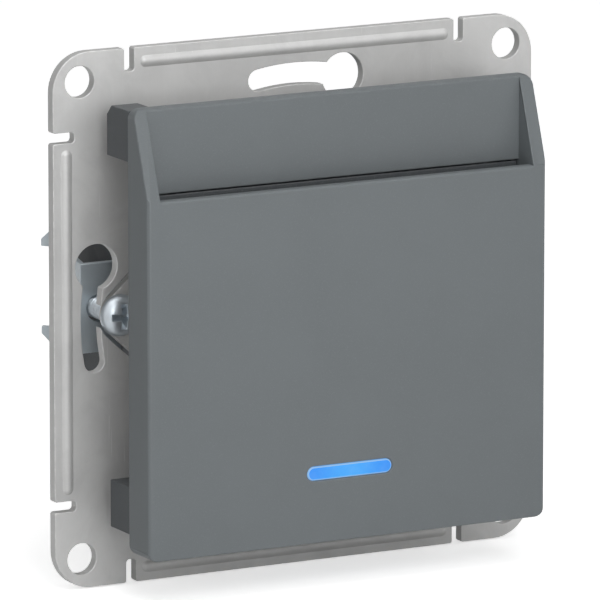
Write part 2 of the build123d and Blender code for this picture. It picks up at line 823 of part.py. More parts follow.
def fixed_contact(up):
    """Silver rivet head that the moving contact meets, lying along the blade at that limit."""
    start = blade_thickness / 2 + contact_head + contact_play
    head = rod_z(contact_radius, up * start, up * (start + contact_head), 0, contact_arm)
    rim = head.edges().group_by(Axis.Z)[-1 if up < 0 else 0]
    head = chamfer(rim, contact_head / 3)
    return at_tilt(up * tilt) * head


def fixed_contacts():
    """The off contact below and the on contact above."""
    return [fixed_contact(-1), fixed_contact(1)]


def pad_height():
    """The height of the inner face of a contact pad, square to the blade at its limit."""
    return blade_thickness / 2 + 2 * contact_head + contact_play


def fixed_leg_low():
    """The height at which a fixed strip's upright leg starts."""
    lift = fixed_leg_depth - pivot_depth
    return lift * math.tan(math.radians(tilt)) + pad_height() / math.cos(math.radians(tilt))


def fixed_strip(up):
    """Brass strip from a fixed contact to its terminal on the left: off below, on above."""
    lean = math.radians(tilt)
    pad_far = (fixed_leg_depth + strip_thickness - pivot_depth) / math.cos(lean)
    pad_far += pad_height() * math.tan(lean)
    pad = block(-strip_half_width, strip_half_width, contact_arm - fixed_pad_reach, pad_far,
                up * pad_height(), up * (pad_height() + strip_thickness))
    strip = at_tilt(up * tilt) * pad
    leg_back = fixed_leg_depth + strip_thickness
    strip += block(-strip_half_width, strip_half_width, fixed_leg_depth, leg_back,
                   up * fixed_leg_low(), up * (cross_strip_z + strip_thickness))
    bar_x = -terminal_offset_x + bar_outer
    strip += block(bar_x, strip_half_width, cross_strip_front, leg_back,
                   up * cross_strip_z, up * (cross_strip_z + strip_thickness))
    strip += block(bar_x, bar_x + bar_thickness, cross_strip_front, leg_back,
                   up * cross_strip_z, up * (terminal_offset_z - bar_half_height / 2))
    return strip + current_bar(-terminal_offset_x, up * terminal_offset_z)


def current_bar(x, z):
    """The flat bar beside a wire entry, against which the spring presses the wire."""
    return block(x + bar_outer, x + bar_outer + bar_thickness, bar_front, base_floor - seat_gap,
                 z - bar_half_height, z + bar_half_height)


def common_terminal_strip():
    """Pivot bracket with two ears for the pin, joined to the terminal on the lower right."""
    front, back = pivot_depth - bracket_half_depth, pivot_depth + bracket_half_depth
    outer = bracket_inner + strip_thickness
    floor_z = bracket_bottom_z - strip_thickness
    strip = block(-outer, outer, front, back, floor_z, bracket_bottom_z)
    for side in (-1, 1):
        strip += block(side * bracket_inner, side * outer, front, back, floor_z, bracket_top_z)
    strip -= rod_x(pin_radius + pin_gap / 2, -outer - overrun, outer + overrun, pivot_depth, 0)
    bar_x = terminal_offset_x + bar_outer
    strip += block(bar_x, bar_x + bar_thickness, front + strip_thickness, bar_front + overrun,
                   -terminal_offset_z - bar_half_height, bracket_bottom_z)
    return strip + current_bar(terminal_offset_x, -terminal_offset_z)


def neutral_terminal_strip():
    """Terminal bar on the upper right with a tail for the lamp lead."""
    bar_x = terminal_offset_x + bar_outer
    tail = block(bar_x, bar_x + bar_thickness,
                 lead_end_depth - strip_half_width, bar_front + overrun,
                 terminal_offset_z - bar_half_height, terminal_offset_z + bar_half_height)
    return tail + current_bar(terminal_offset_x, terminal_offset_z)


def clamp_spring(x, z):
    """Folded leaf: across the front of the bar, then slanting back towards the wire."""
    lean = math.atan2(leaf_shoulder - leaf_tip, leaf_tip_depth - leaf_shoulder_depth)
    thick = leaf_thickness
    foot = bar_outer + bar_thickness + seat_gap
    shift_x, shift_y = thick * math.cos(lean), thick * math.sin(lean)
    outline = [
        (foot, leaf_front),
        (leaf_shoulder - thick, leaf_front),
        (leaf_shoulder, leaf_front + thick),
        (leaf_shoulder, leaf_shoulder_depth),
        (leaf_tip, leaf_tip_depth),
        (leaf_tip - shift_x, leaf_tip_depth - shift_y),
        (leaf_shoulder - thick, leaf_shoulder_depth - thick / 2),
        (leaf_shoulder - thick, leaf_front + thick),
        (foot, leaf_front + thick),
    ]
    outline = [(x + u, y) for u, y in outline]
    return profile_along_z(outline, z - leaf_half_height, z + leaf_half_height)


def release_lever(x, z):
    """Push button whose slanted shoulder presses on the leaf and keeps it in the case."""
    inner, outer = x + lever_inner, x + lever_outer
    half = lever_half_height
    shoulder = block(inner, outer, lever_front, lever_back, z - half, z + half)
    inset = lever_stem_inset
    stem = block(inner + inset, outer - inset, lever_back - seat_gap, lever_end,
                 z - half + inset, z + half - inset)
    stem = fillet(stem.edges().group_by(Axis.Y)[-1], inset)
    return shoulder + stem


def lamp_board():
    """Circuit board behind the lens, on the inside of the case front."""
    front = -front_inner + board_gap
    low = -front_case_half_height + case_wall + board_bottom_gap
    back = front + board_thickness
    board = block(-board_half_width, board_half_width, front, back, low, board_top_z)
    for x in (lead_inner_x, lead_outer_x):
        board -= rod_y(lead_radius + pin_gap, front - overrun, back + overrun, x, lead_start_z)
    return board


def board_back():
    """The depth of the board's rear face."""
    return -front_inner + board_gap + board_thickness


def led_lamp():
    """Round light source with a rim, standing through the case front to the lens stem."""
    seat = -front_inner + board_gap - seat_gap
    body = rod_y(led_radius, -led_front, seat, lens_centre_x, lens_centre_z)
    return fillet(body.edges().group_by(Axis.Y)[0], led_dome_radius)


def lamp_resistor():
    """Barrel resistor on the rear of the board, with its two bent leads."""
    y = board_back() + resistor_standoff + resistor_radius
    left = resistor_centre_x - resistor_length / 2
    right = resistor_centre_x + resistor_length / 2
    body = rod_x(resistor_radius, left, right, y, resistor_centre_z)
    body = fillet(body.edges().filter_by(GeomType.CIRCLE), resistor_radius / 3)
    thin = component_lead_radius
    for x, side in ((left, -1), (right, 1)):
        end = x + side * resistor_radius
        body += block(x - side * seat_gap, end, y - thin, y + thin,
                      resistor_centre_z - thin, resistor_centre_z + thin)
        body += block(end - thin, end + thin, board_back() + seat_gap, y + thin,
                      resistor_centre_z - thin, resistor_centre_z + thin)
    return body


def lamp_capacitor():
    """Block capacitor on the rear of the board."""
    half, up = capacitor_width / 2, capacitor_height / 2
    front = board_back() + seat_gap
    body = block(capacitor_centre_x - half, capacitor_centre_x + half,
                 front, front + capacitor_depth,
                 capacitor_centre_z - up, capacitor_centre_z + up)
    return fillet(body.edges().group_by(Axis.Y)[-1], resistor_radius / 3)


def lead(points):
    """An insulated lead along straight runs joined by arcs."""
    path = FilletPolyline(*points, radius=lead_bend_radius)
    section = Plane(origin=path @ 0, z_dir=path % 0) * Circle(lead_radius)
    return sweep(section, path=path)


def lamp_leads():
    """One lead to the common strip below and one to the neutral strip above."""
    start = -front_inner + board_gap
    bar_face = terminal_offset_x + bar_outer + bar_thickness + seat_gap
    low = [
        (lead_inner_x, start, lead_start_z),
        (lead_inner_x, lead_end_depth, lead_start_z),
        (lead_inner_x, lead_end_depth, common_lead_end_z),
        (bar_face, lead_end_depth, common_lead_end_z),
    ]
    high = [
        (lead_outer_x, start, lead_start_z),
        (lead_outer_x, -lead_riser_depth + lead_bend_radius, lead_start_z),
        (lead_outer_x, -lead_riser_depth + lead_bend_radius, terminal_offset_z),
        (lead_outer_x, lead_end_depth, terminal_offset_z),
        (bar_face, lead_end_depth, terminal_offset_z),
    ]
    return [lead(low), lead(high)]


def claw():
    """Right claw: short leg on the screw, long leaning leg, two teeth at its end."""
    thick = claw_thickness
    lean = math.atan2(claw_corner_x - claw_waist_x, claw_waist_depth - claw_rest_y)
    step_x, step_y = thick * math.cos(lean), thick * math.sin(lean)
    outline = [
        (claw_pivot_x, claw_rest_y),
        (claw_corner_x, claw_rest_y),
        (claw_waist_x, claw_waist_depth),
        (claw_tip_x, claw_tip_depth),
        (claw_tip_x - thick / 2, claw_tip_depth + thick / 2),
        (claw_waist_x - step_x, claw_waist_depth + step_y),
        (claw_corner_x - step_x, claw_rest_y + thick),
        (claw_pivot_x, claw_rest_y + thick),
    ]
    strap = profile_along_z(outline, -claw_half_height, claw_half_height)
    wide = profile_along_z(outline, -tooth_outer, tooth_outer)
    wide &= block(claw_pivot_x, claw_corner_x, tooth_root_depth - tooth_rake, claw_tip_depth + thick,
                  -tooth_outer, tooth_outer)
    strap += wide
    strap -= block(claw_pivot_x, claw_corner_x, tooth_root_depth, claw_tip_depth + overrun,
                   -tooth_inner, tooth_inner)
    for up in (-1, 1):
        strap -= tooth_cut(up * tooth_outer, -up)
    strap -= rod_y(claw_hole_radius, 0, claw_rest_y + thick + overrun, claw_screw_x, 0)
    return strap - block(claw_screw_x - claw_hole_radius, claw_corner_x, claw_rest_y + thick, claw_slot_end,
                         -claw_slot_half_height, claw_slot_half_height)


def tooth_cut(z, inward):
    """A wedge that slants the outer flank of a tooth."""
    tip = claw_tip_depth + overrun
    outline = [(tooth_root_depth, z), (tip, z), (tip, z + inward * tooth_rake * (tip - tooth_root_depth) / tooth_length)]
    face = make_face(Polyline(*[(claw_pivot_x, y, h) for y, h in outline], close=True))
    return extrude(face, claw_corner_x - claw_pivot_x, dir=(1, 0, 0))


def claw_screw():
    """Right claw screw: domed head with a cross recess, and its shank."""
    seat = -plate_thickness + ear_front_setback - seat_gap
    top = seat - claw_head_height
    head = rod_y(claw_head_radius, top, seat, claw_screw_x, 0)
    head = fillet(head.edges().group_by(Axis.Y)[0], claw_head_rounding)
    long_half, short_half = cross_recess_length / 2, cross_recess_width / 2
    for across, upright in ((long_half, short_half), (short_half, long_half)):
        head -= block(claw_screw_x - across, claw_screw_x + across, top - overrun, top + cross_recess_depth,
                      -upright, upright)
    shank = rod_y(claw_screw_radius, seat, claw_screw_end, claw_screw_x, 0)
    shank = chamfer(shank.edges().group_by(Axis.Y)[-1], claw_screw_radius / 3)
    return head + shank


def on_side(piece, turn):
    """A claw piece at its screw's height, turned about Y to its side of the case."""
    return Rot(0, turn, 0) * Pos(0, 0, -lobe_centre_z) * piece


def rocker_pin():
    """Steel pivot pin through the rocker and the bracket's ears."""
    end = bracket_inner + 2 * strip_thickness
    return rod_x(pin_radius, -end, end, pivot_depth, 0)


parts["support_plate"] = support_plate()
parts["front_cover"] = front_cover()
parts["indicator_lens"] = indicator_lens()
parts["card_guide"] = card_guide()
parts["mechanism_front"] = mechanism_front()
parts["mechanism_base"] = mechanism_base()
parts["case_screws"] = case_screws()
parts["card_slider"] = card_slider()
parts["slider_spring"] = slider_spring()
parts["contact_rocker"] = contact_rocker()
parts["rocker_pin"] = rocker_pin()
parts["contact_blade"] = contact_blade()
parts["moving_contact"] = moving_contact()
parts["fixed_contacts"] = fixed_contacts()
parts["common_terminal_strip"] = common_terminal_strip()
parts["on_terminal_strip"] = fixed_strip(1)
parts["off_terminal_strip"] = fixed_strip(-1)
parts["neutral_terminal_strip"] = neutral_terminal_strip()
for name, across, up in (("on", -1, 1), ("off", -1, -1), ("common", 1, -1), ("neutral", 1, 1)):
    place = (across * terminal_offset_x, up * terminal_offset_z)
    parts[name + "_clamp_spring"] = clamp_spring(*place)
    parts[name + "_release_lever"] = release_lever(*place)
parts["lamp_board"] = lamp_board()
parts["led_lamp"] = led_lamp()
parts["lamp_resistor"] = lamp_resistor()
parts["lamp_capacitor"] = lamp_capacitor()
parts["lamp_leads"] = lamp_leads()
for name, turn in (("right", 0), ("left", 180)):
    parts[name + "_claw"] = on_side(claw(), turn)
    parts[name + "_claw_screw"] = on_side(claw_screw(), turn)

spring_report()
print(f"rocker tilt each way {tilt:.4f} degrees")
os.makedirs("parts", exist_ok=True)
for name, piece in parts.items():
    solids = piece if isinstance(piece, list) else [piece]
    solids = [s for group in solids for s in group.solids()]
    shape = solids[0] if len(solids) == 1 else Compound(children=solids)
    export_step(shape, f"parts/{name}.step")
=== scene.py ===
# %% [markdown]
# # A key card switch, dressed in Blender
# The real object is a flush wall switch: a galvanised steel plate, a slate grey
# card holder in front of it and the switch mechanism behind it. Its solids were
# drawn as CAD and are loaded here as a fixed frame. This lesson gives every one
# of them its finish, and builds anew what CAD leaves plain: threads, springs,
# the light bar and the small electric parts.

import json
import math

import bmesh
import bpy
import numpy as np
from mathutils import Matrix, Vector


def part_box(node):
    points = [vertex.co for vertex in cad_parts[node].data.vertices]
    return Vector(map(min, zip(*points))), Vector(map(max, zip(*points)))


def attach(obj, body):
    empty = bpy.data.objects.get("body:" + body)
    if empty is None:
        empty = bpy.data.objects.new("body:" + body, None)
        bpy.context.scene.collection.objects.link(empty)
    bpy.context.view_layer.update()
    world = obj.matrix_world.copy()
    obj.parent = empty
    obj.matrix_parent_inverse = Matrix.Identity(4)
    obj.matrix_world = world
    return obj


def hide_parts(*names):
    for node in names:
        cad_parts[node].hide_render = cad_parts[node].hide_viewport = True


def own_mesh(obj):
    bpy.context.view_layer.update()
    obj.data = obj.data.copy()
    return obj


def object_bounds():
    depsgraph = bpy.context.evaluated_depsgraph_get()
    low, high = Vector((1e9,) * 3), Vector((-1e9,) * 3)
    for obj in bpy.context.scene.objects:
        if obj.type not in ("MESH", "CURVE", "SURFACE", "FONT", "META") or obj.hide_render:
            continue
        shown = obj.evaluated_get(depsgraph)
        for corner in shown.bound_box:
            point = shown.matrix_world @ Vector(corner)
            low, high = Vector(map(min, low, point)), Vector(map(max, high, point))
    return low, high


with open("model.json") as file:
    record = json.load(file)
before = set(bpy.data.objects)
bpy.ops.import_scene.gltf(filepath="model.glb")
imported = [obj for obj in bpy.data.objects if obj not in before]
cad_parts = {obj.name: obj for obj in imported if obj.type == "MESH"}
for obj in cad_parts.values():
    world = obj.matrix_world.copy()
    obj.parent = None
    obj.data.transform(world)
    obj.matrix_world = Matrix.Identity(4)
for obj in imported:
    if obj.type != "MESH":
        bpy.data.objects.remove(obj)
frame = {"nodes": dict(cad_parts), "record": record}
nodes = frame["nodes"]
record = frame["record"]
body_of = {node: body for body, members in record["behaviour"]["bodies"].items() for node in members}
slot_of = {row["node"]: row["material_slot"] for row in record["subparts"]}
cad_box = [list(corner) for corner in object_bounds()]
mm = 0.001

# %% [markdown]
# ## The camera
# A long lens far away keeps upright edges nearly parallel, as in a catalogue
# picture. The camera stands to the left of the switch and a little above it.
# Its place is worked out from two angles and a distance, which are easier to
# read and to change than three coordinates.

# %% Camera
camera_turn = math.radians(-28.165)
camera_rise = math.radians(11.397)
camera_distance = 1143.2 * mm
camera_target = np.array([0.67, -1.5, -0.17]) * mm
camera_focal_length = 521.34
camera_sensor_width = 36

back = np.array([
    math.sin(camera_turn) * math.cos(camera_rise),
    -math.cos(camera_turn) * math.cos(camera_rise),
    math.sin(camera_rise),
])
camera = bpy.data.objects.new("camera", bpy.data.cameras.new("camera"))
bpy.context.scene.collection.objects.link(camera)
camera.location = camera_target + camera_distance * back
camera.rotation_euler = (math.pi / 2 - camera_rise, 0, camera_turn)
camera.data.sensor_width = camera_sensor_width
camera.data.lens = camera_focal_length
bpy.context.scene.camera = camera
print("camera at", [round(c, 4) for c in camera.location])

# %% [markdown]
# ## Small helpers for nodes
# A material is a chain of nodes. Short functions keep the chains readable. The
# first adds a node and wires its inputs. The second starts a node group with
# named sockets: a group is built once, and each material that uses it sets its
# own numbers. The third starts a material.

# %% Node helpers
def add(tree, kind, inputs=None, **settings):
    """One node. inputs maps a socket's name or number to a value or to another node's output."""
    node = tree.nodes.new(kind)
    for key, value in settings.items():
        setattr(node, key, value)
    for key, value in (inputs or {}).items():
        if isinstance(value, bpy.types.NodeSocket):
            tree.links.new(value, node.inputs[key])
        else:
            node.inputs[key].default_value = value
    return node


def start_group(name, inputs, outputs):
    """An empty node group with its named sockets, its input node and its output node."""
    group = bpy.data.node_groups.new(name, "ShaderNodeTree")
    for label, kind, value in inputs:
        socket = group.interface.new_socket(label, in_out="INPUT", socket_type="NodeSocket" + kind)
        socket.default_value = value
    for label, kind in outputs:
        group.interface.new_socket(label, in_out="OUTPUT", socket_type="NodeSocket" + kind)
    return group, group.nodes.new("NodeGroupInput").outputs, group.nodes.new("NodeGroupOutput")


def new_material(name):
    """An empty material with its Principled shader."""
    material = bpy.data.materials.new(name)
    material.use_nodes = True
    return material.node_tree, material.node_tree.nodes["Principled BSDF"], material


print("node helpers ready")

# %% [markdown]
# ## Steps of a chain
# Most chains are made of the same few steps: a sum or a product, a mix of two
# colours, a smooth rise between two values, the place on the object, and noise.
# The place is counted from the object's own origin, so a pattern stays with a
# piece that moves.

# %% Steps of a chain
def math_node(tree, operation, a, b=0.0):
    """The result of one Math node."""
    return add(tree, "ShaderNodeMath", {0: a, 1: b}, operation=operation).outputs[0]


def mix_colours(tree, share, a, b):
    """Colour a where share is 0 and colour b where it is 1. A Mix node's colours are its inputs 6 and 7."""
    return add(tree, "ShaderNodeMix", {0: share, 6: a, 7: b}, data_type="RGBA").outputs[2]


def ramp(tree, value, low, high, to_low=0.0, to_high=1.0):
    """value carried smoothly from to_low at low to to_high at high."""
    node = add(tree, "ShaderNodeMapRange", {"Value": value, "From Min": low, "From Max": high,
                                            "To Min": to_low, "To Max": to_high},
               interpolation_type="SMOOTHSTEP")
    return node.outputs["Result"]


def object_place(tree):
    """Each point's place on its object, in metres."""
    return add(tree, "ShaderNodeTexCoord").outputs["Object"]


def along_x(tree, place):
    """How far a place lies along X, in metres."""
    return add(tree, "ShaderNodeSeparateXYZ", {0: place}).outputs["X"]


def noise(tree, place, scale, detail, roughness=0.5, distortion=0.0):
    """Cloudy noise from 0 to 1, with scale spots in a metre."""
    values = {"Vector": place, "Scale": scale, "Detail": detail, "Roughness": roughness,
              "Distortion": distortion}
    return add(tree, "ShaderNodeTexNoise", values).outputs["Fac"]


def switched(tree, value, off, on):
    """off where value is 0 and on where it is 1."""
    return add(tree, "ShaderNodeMapRange", {"Value": value, "To Min": off, "To Max": on}).outputs["Result"]


print("chain steps ready")

# %% [markdown]
# ## Studio light
# Product pictures use soft lamps, so that edges get a gentle highlight and
# shadows have no hard border. The key lamp is near, so its light fades across
# the card holder from the upper left. A wide lamp on the right opens the
# shadows and one above lights the tops. The world is white where the camera, a
# polished surface or clear plastic looks at it, and dimmer as a source of light.

# %% Lamps and world
def lamp(name, place, power, size):
    """A square area lamp that looks at the origin from its place, in metres, with its power in watts."""
    light = bpy.data.lights.new(name, "AREA")
    light.energy = power
    light.size = size
    thing = bpy.data.objects.new(name, light)
    bpy.context.scene.collection.objects.link(thing)
    thing.location = place
    thing.rotation_euler = (-thing.location).to_track_quat("-Z", "Y").to_euler()


lamp("key_lamp", place=(-0.045, -0.23, 0.115), power=0.40, size=0.22)
lamp("fill_lamp", place=(0.80, -0.60, 0.30), power=0.8, size=0.7)
lamp("top_lamp", place=(-0.10, -0.10, 1.00), power=4.5, size=0.9)

ambient_strength = 0.19
world = bpy.data.worlds.new("studio")
bpy.context.scene.world = world
world.use_nodes = True
world_tree = world.node_tree
world_tree.nodes.clear()
seen = add(world_tree, "ShaderNodeLightPath").outputs
camera_or_gloss = math_node(world_tree, "MAXIMUM", seen["Is Camera Ray"], seen["Is Glossy Ray"])
any_view = math_node(world_tree, "MAXIMUM", camera_or_gloss, seen["Is Transmission Ray"])
sky_strength = switched(world_tree, any_view, ambient_strength, 1.0)
sky = add(world_tree, "ShaderNodeBackground", {"Color": (1, 1, 1, 1), "Strength": sky_strength})
add(world_tree, "ShaderNodeOutputWorld", {"Surface": sky.outputs[0]})
bpy.context.scene.view_settings.view_transform = "Standard"

# %% [markdown]
# ## The floor
# The switch stands on a white sweep: a level sheet that curves up into a wall.
# It is one profile, a quarter circle between two straight runs, carried
# sideways. To the camera it is plain white, darkened only where the switch
# keeps the light off it.

# %% Floor
def show_mesh(name, mesh, materials, sharp_degrees=None):
    """A smooth shaded mesh as an object at the origin. Edges bent by more than sharp_degrees stay sharp."""
    for material in materials:
        mesh.materials.append(material)
    mesh.shade_smooth()
    if sharp_degrees:
        mesh.set_sharp_from_angle(angle=math.radians(sharp_degrees))
    thing = bpy.data.objects.new(name, mesh)
    bpy.context.scene.collection.objects.link(thing)
    return thing


def sweep_sheet(low, reach, rise, bend, half_width):
    """Profile of (y, z): along the floor, round a quarter circle of radius bend, up the wall;
    carried along x from -half_width to half_width as a grid of two columns."""
    turn = np.linspace(0, math.pi / 2, 24)
    y = np.concatenate([[-reach], reach - bend + bend * np.sin(turn), [reach]])
    z = np.concatenate([[0], bend - bend * np.cos(turn), [rise]]) + low
    x = np.array([-half_width, half_width])
    points = np.stack(np.broadcast_arrays(x[None, :], y[:, None], z[:, None]), -1)
    rows = np.arange(len(y) - 1)
    faces = np.stack([rows * 2, rows * 2 + 1, rows * 2 + 3, rows * 2 + 2], -1)
    mesh = bpy.data.meshes.new("floor")
    mesh.from_pydata(points.reshape(-1, 3).tolist(), [], faces.tolist())
    return mesh


floor_tree, floor_shader, floor_material = new_material("white_sweep")
floor_shader.inputs["Base Color"].default_value = (0.93, 0.93, 0.93, 1)
floor_shader.inputs["Roughness"].default_value = 0.9
floor_shader.inputs["Emission Color"].default_value = (1, 1, 1, 1)
glow_on_switch, glow_to_camera = 0.05, 0.56
floor_seen = add(floor_tree, "ShaderNodeLightPath").outputs["Is Camera Ray"]
floor_glow = switched(floor_tree, floor_seen, glow_on_switch, glow_to_camera)
floor_tree.links.new(floor_glow, floor_shader.inputs["Emission Strength"])

floor_height = cad_box[0][2] - 0.2 * mm
floor_mesh = sweep_sheet(low=floor_height, reach=3.0, rise=3.0, bend=1.0, half_width=5.0)
show_mesh("floor", floor_mesh, [floor_material])
print("floor height", round(floor_height, 4))

# %% [markdown]
# ## Moulded plastic
# A plastic part copies the skin of its steel mould. On this switch that skin
# was roughened by spark erosion, so it has shallow pits about 0.15 mm wide.
# Noise at that size drives a bump. A much larger, weaker noise shifts the
# colour and the gloss, because no real surface is even. A pale bluish tint on
# the raised tops of the grain is a painted glint, standing in for light caught
# by metallic flecks.

# %% Moulded grain group
moulded_grain, given, wanted = start_group(
    "moulded_grain",
    [("Colour", "Color", (0.2, 0.2, 0.2, 1)), ("Grain mm", "Float", 0.15), ("Depth", "Float", 0.2),
     ("Roughness", "Float", 0.5), ("Unevenness", "Float", 0.05), ("Painted glint", "Float", 0.04)],
    [("Colour", "Color"), ("Roughness", "Float"), ("Normal", "Vector")],
)
tree = moulded_grain
place = object_place(tree)
per_metre = math_node(tree, "DIVIDE", 1000.0, given["Grain mm"])
pits = noise(tree, place, per_metre, detail=2.0, roughness=0.55)
cells = add(tree, "ShaderNodeTexVoronoi", {"Vector": place, "Scale": per_metre}).outputs["Distance"]
cloud = noise(tree, place, 65.0, detail=4.0, roughness=0.6)
height = math_node(tree, "ADD", pits, math_node(tree, "MULTIPLY", cells, 0.5))
bump = add(tree, "ShaderNodeBump", {"Strength": given["Depth"], "Distance": 0.02 * mm, "Height": height})
# Painted glint: the raised tops of the grain are tinted pale bluish white, as if they caught the light.
glint_colour = mix_colours(tree, given["Painted glint"], given["Colour"], (0.85, 0.88, 0.9, 1))
darker = mix_colours(tree, given["Unevenness"], given["Colour"], (0.02, 0.02, 0.02, 1))
clouded = mix_colours(tree, ramp(tree, cloud, 0.35, 0.65), darker, given["Colour"])
glinted = mix_colours(tree, ramp(tree, pits, 0.55, 0.75), clouded, glint_colour)
spread = math_node(tree, "MULTIPLY", given["Unevenness"], ramp(tree, cloud, 0.3, 0.7, -1.0, 1.0))
gloss = math_node(tree, "ADD", given["Roughness"], spread)
pit_shift = math_node(tree, "MULTIPLY", math_node(tree, "SUBTRACT", pits, 0.5), 0.25)
pitted = math_node(tree, "ADD", gloss, pit_shift)
tree.links.new(glinted, wanted.inputs["Colour"])
tree.links.new(pitted, wanted.inputs["Roughness"])
tree.links.new(bump.outputs[0], wanted.inputs["Normal"])
print("group", moulded_grain.name)

# %% [markdown]
# ## Rolled sheet metal
# Steel strip is rolled, then coated with zinc. Rolling leaves fine lines in one
# direction, the coating leaves soft cloudy patches, and handling leaves a few
# hair scratches. Stretching the coordinates before the noise turns round spots
# into lines, which is a cheap way to draw grain.

# %% Rolled metal group
rolled_metal, given, wanted = start_group(
    "rolled_metal",
    [("Colour", "Color", (0.6, 0.6, 0.6, 1)), ("Patch colour", "Color", (0.5, 0.5, 0.5, 1)),
     ("Patches", "Float", 0.5), ("Roughness", "Float", 0.35), ("Lines", "Float", 0.3),
     ("Scratches", "Float", 0.3), ("Stretch", "Vector", (1.0, 1.0, 0.04))],
    [("Colour", "Color"), ("Roughness", "Float"), ("Normal", "Vector")],
)
tree = rolled_metal
place = object_place(tree)
along = add(tree, "ShaderNodeVectorMath", {0: place, 1: given["Stretch"]}, operation="MULTIPLY").outputs[0]
lines = noise(tree, along, 6000.0, detail=3.0, roughness=0.6)
broad = noise(tree, along, 500.0, detail=2.0)
patch = noise(tree, place, 140.0, detail=5.0, roughness=0.65, distortion=0.6)
crystal = add(tree, "ShaderNodeTexVoronoi", {"Vector": place, "Scale": 420.0}).outputs["Color"]
facet = add(tree, "ShaderNodeSeparateColor", {0: crystal}).outputs[0]
scratch_place = add(tree, "ShaderNodeMapping", {"Vector": place, "Rotation": (0.5, 0.9, 0.3),
                                             "Scale": (1.0, 1.0, 0.02)}).outputs[0]
hair = noise(tree, scratch_place, 2600.0, detail=1.0)
hair_mask = math_node(tree, "MULTIPLY", ramp(tree, hair, 0.70, 0.76), ramp(tree, patch, 0.5, 0.6))
patch_share = math_node(tree, "MULTIPLY", ramp(tree, patch, 0.38, 0.62), given["Patches"])
coloured = mix_colours(tree, patch_share, given["Colour"], given["Patch colour"])
line_strength = math_node(tree, "MULTIPLY", given["Lines"], 0.35)
line_share = math_node(tree, "MULTIPLY", ramp(tree, broad, 0.3, 0.7), line_strength)
lined = mix_colours(tree, line_share, coloured, (0.35, 0.34, 0.33, 1))
scratch_share = math_node(tree, "MULTIPLY", hair_mask, given["Scratches"])
scratched = mix_colours(tree, scratch_share, lined, (0.9, 0.9, 0.9, 1))
facet_shift = math_node(tree, "MULTIPLY", math_node(tree, "SUBTRACT", facet, 0.5), 0.08)
line_shift = math_node(tree, "MULTIPLY", math_node(tree, "SUBTRACT", lines, 0.5), given["Lines"])
gloss = math_node(tree, "ADD", math_node(tree, "ADD", given["Roughness"], facet_shift), line_shift)
ridges = math_node(tree, "MULTIPLY", lines, given["Lines"])
grooves = math_node(tree, "MULTIPLY", hair_mask, math_node(tree, "MULTIPLY", given["Scratches"], -0.6))
height = math_node(tree, "ADD", ridges, grooves)
bump = add(tree, "ShaderNodeBump", {"Strength": 0.35, "Distance": 0.01 * mm, "Height": height})
tree.links.new(scratched, wanted.inputs["Colour"])
tree.links.new(gloss, wanted.inputs["Roughness"])
tree.links.new(bump.outputs[0], wanted.inputs["Normal"])
print("group", rolled_metal.name)

# %% [markdown]
# ## Edge wear
# Edges rub against hands, tools and boxes first. Every sharp edge here gets a
# narrow rounded strip, and that strip has a material of its own, which this
# group breaks up: between its patches the untouched colour stays.

# %% Edge wear group
edge_wear, given, wanted = start_group(
    "edge_wear",
    [("Colour", "Color", (0.5, 0.5, 0.5, 1)), ("Worn colour", "Color", (0.8, 0.8, 0.8, 1)),
     ("Amount", "Float", 0.5), ("Patch mm", "Float", 1.5)],
    [("Colour", "Color")],
)
tree = edge_wear
place = object_place(tree)
per_metre = math_node(tree, "DIVIDE", 1000.0, given["Patch mm"])
spots = noise(tree, place, per_metre, detail=4.0, roughness=0.7)
worn = math_node(tree, "MULTIPLY", ramp(tree, spots, 0.42, 0.60), given["Amount"])
tree.links.new(mix_colours(tree, worn, given["Colour"], given["Worn colour"]), wanted.inputs["Colour"])
print("group", edge_wear.name)

# %% [markdown]
# ## Dust
# A little dust settles on faces that look upwards and stays in patches. The
# surface normal's upward share says where, and noise breaks it up.

# %% Dust group
dust, given, wanted = start_group(
    "dust",
    [("Colour", "Color", (0.5, 0.5, 0.5, 1)), ("Dust colour", "Color", (0.62, 0.60, 0.57, 1)),
     ("Amount", "Float", 0.2)],
    [("Colour", "Color")],
)
tree = dust
place = object_place(tree)
normal = add(tree, "ShaderNodeNewGeometry").outputs["Normal"]
upward = add(tree, "ShaderNodeSeparateXYZ", {0: normal}).outputs["Z"]
specks = noise(tree, place, 900.0, detail=5.0, roughness=0.75)
settled = math_node(tree, "MULTIPLY", ramp(tree, upward, 0.35, 0.95), ramp(tree, specks, 0.45, 0.68))
mask = math_node(tree, "MULTIPLY", settled, given["Amount"])
tree.links.new(mix_colours(tree, mask, given["Colour"], given["Dust colour"]), wanted.inputs["Colour"])
print("group", dust.name)

# %% [markdown]
# ## Two makers of materials
# With the groups ready, a finish is a few numbers. One function makes a
# moulded plastic and one a sheet metal. Each makes a pair: the finish of the
# faces, and the finish of the narrow strip along the edges. What both kinds
# share, the wear and the dust, is written once, in the function they both call.

# %% Material makers
def place_group(tree, group, values):
    """One node that uses a group, with its own values."""
    return add(tree, "ShaderNodeGroup", values, node_tree=group).outputs


def opaque(colour):
    """A colour with full alpha."""
    return (*colour, 1.0)


def skin(tree, shader, group, values):
    """Places a group, gives the shader its roughness and its normal, and returns its colour."""
    base = place_group(tree, group, values)
    tree.links.new(base["Roughness"], shader.inputs["Roughness"])
    tree.links.new(base["Normal"], shader.inputs["Normal"])
    return base["Colour"]


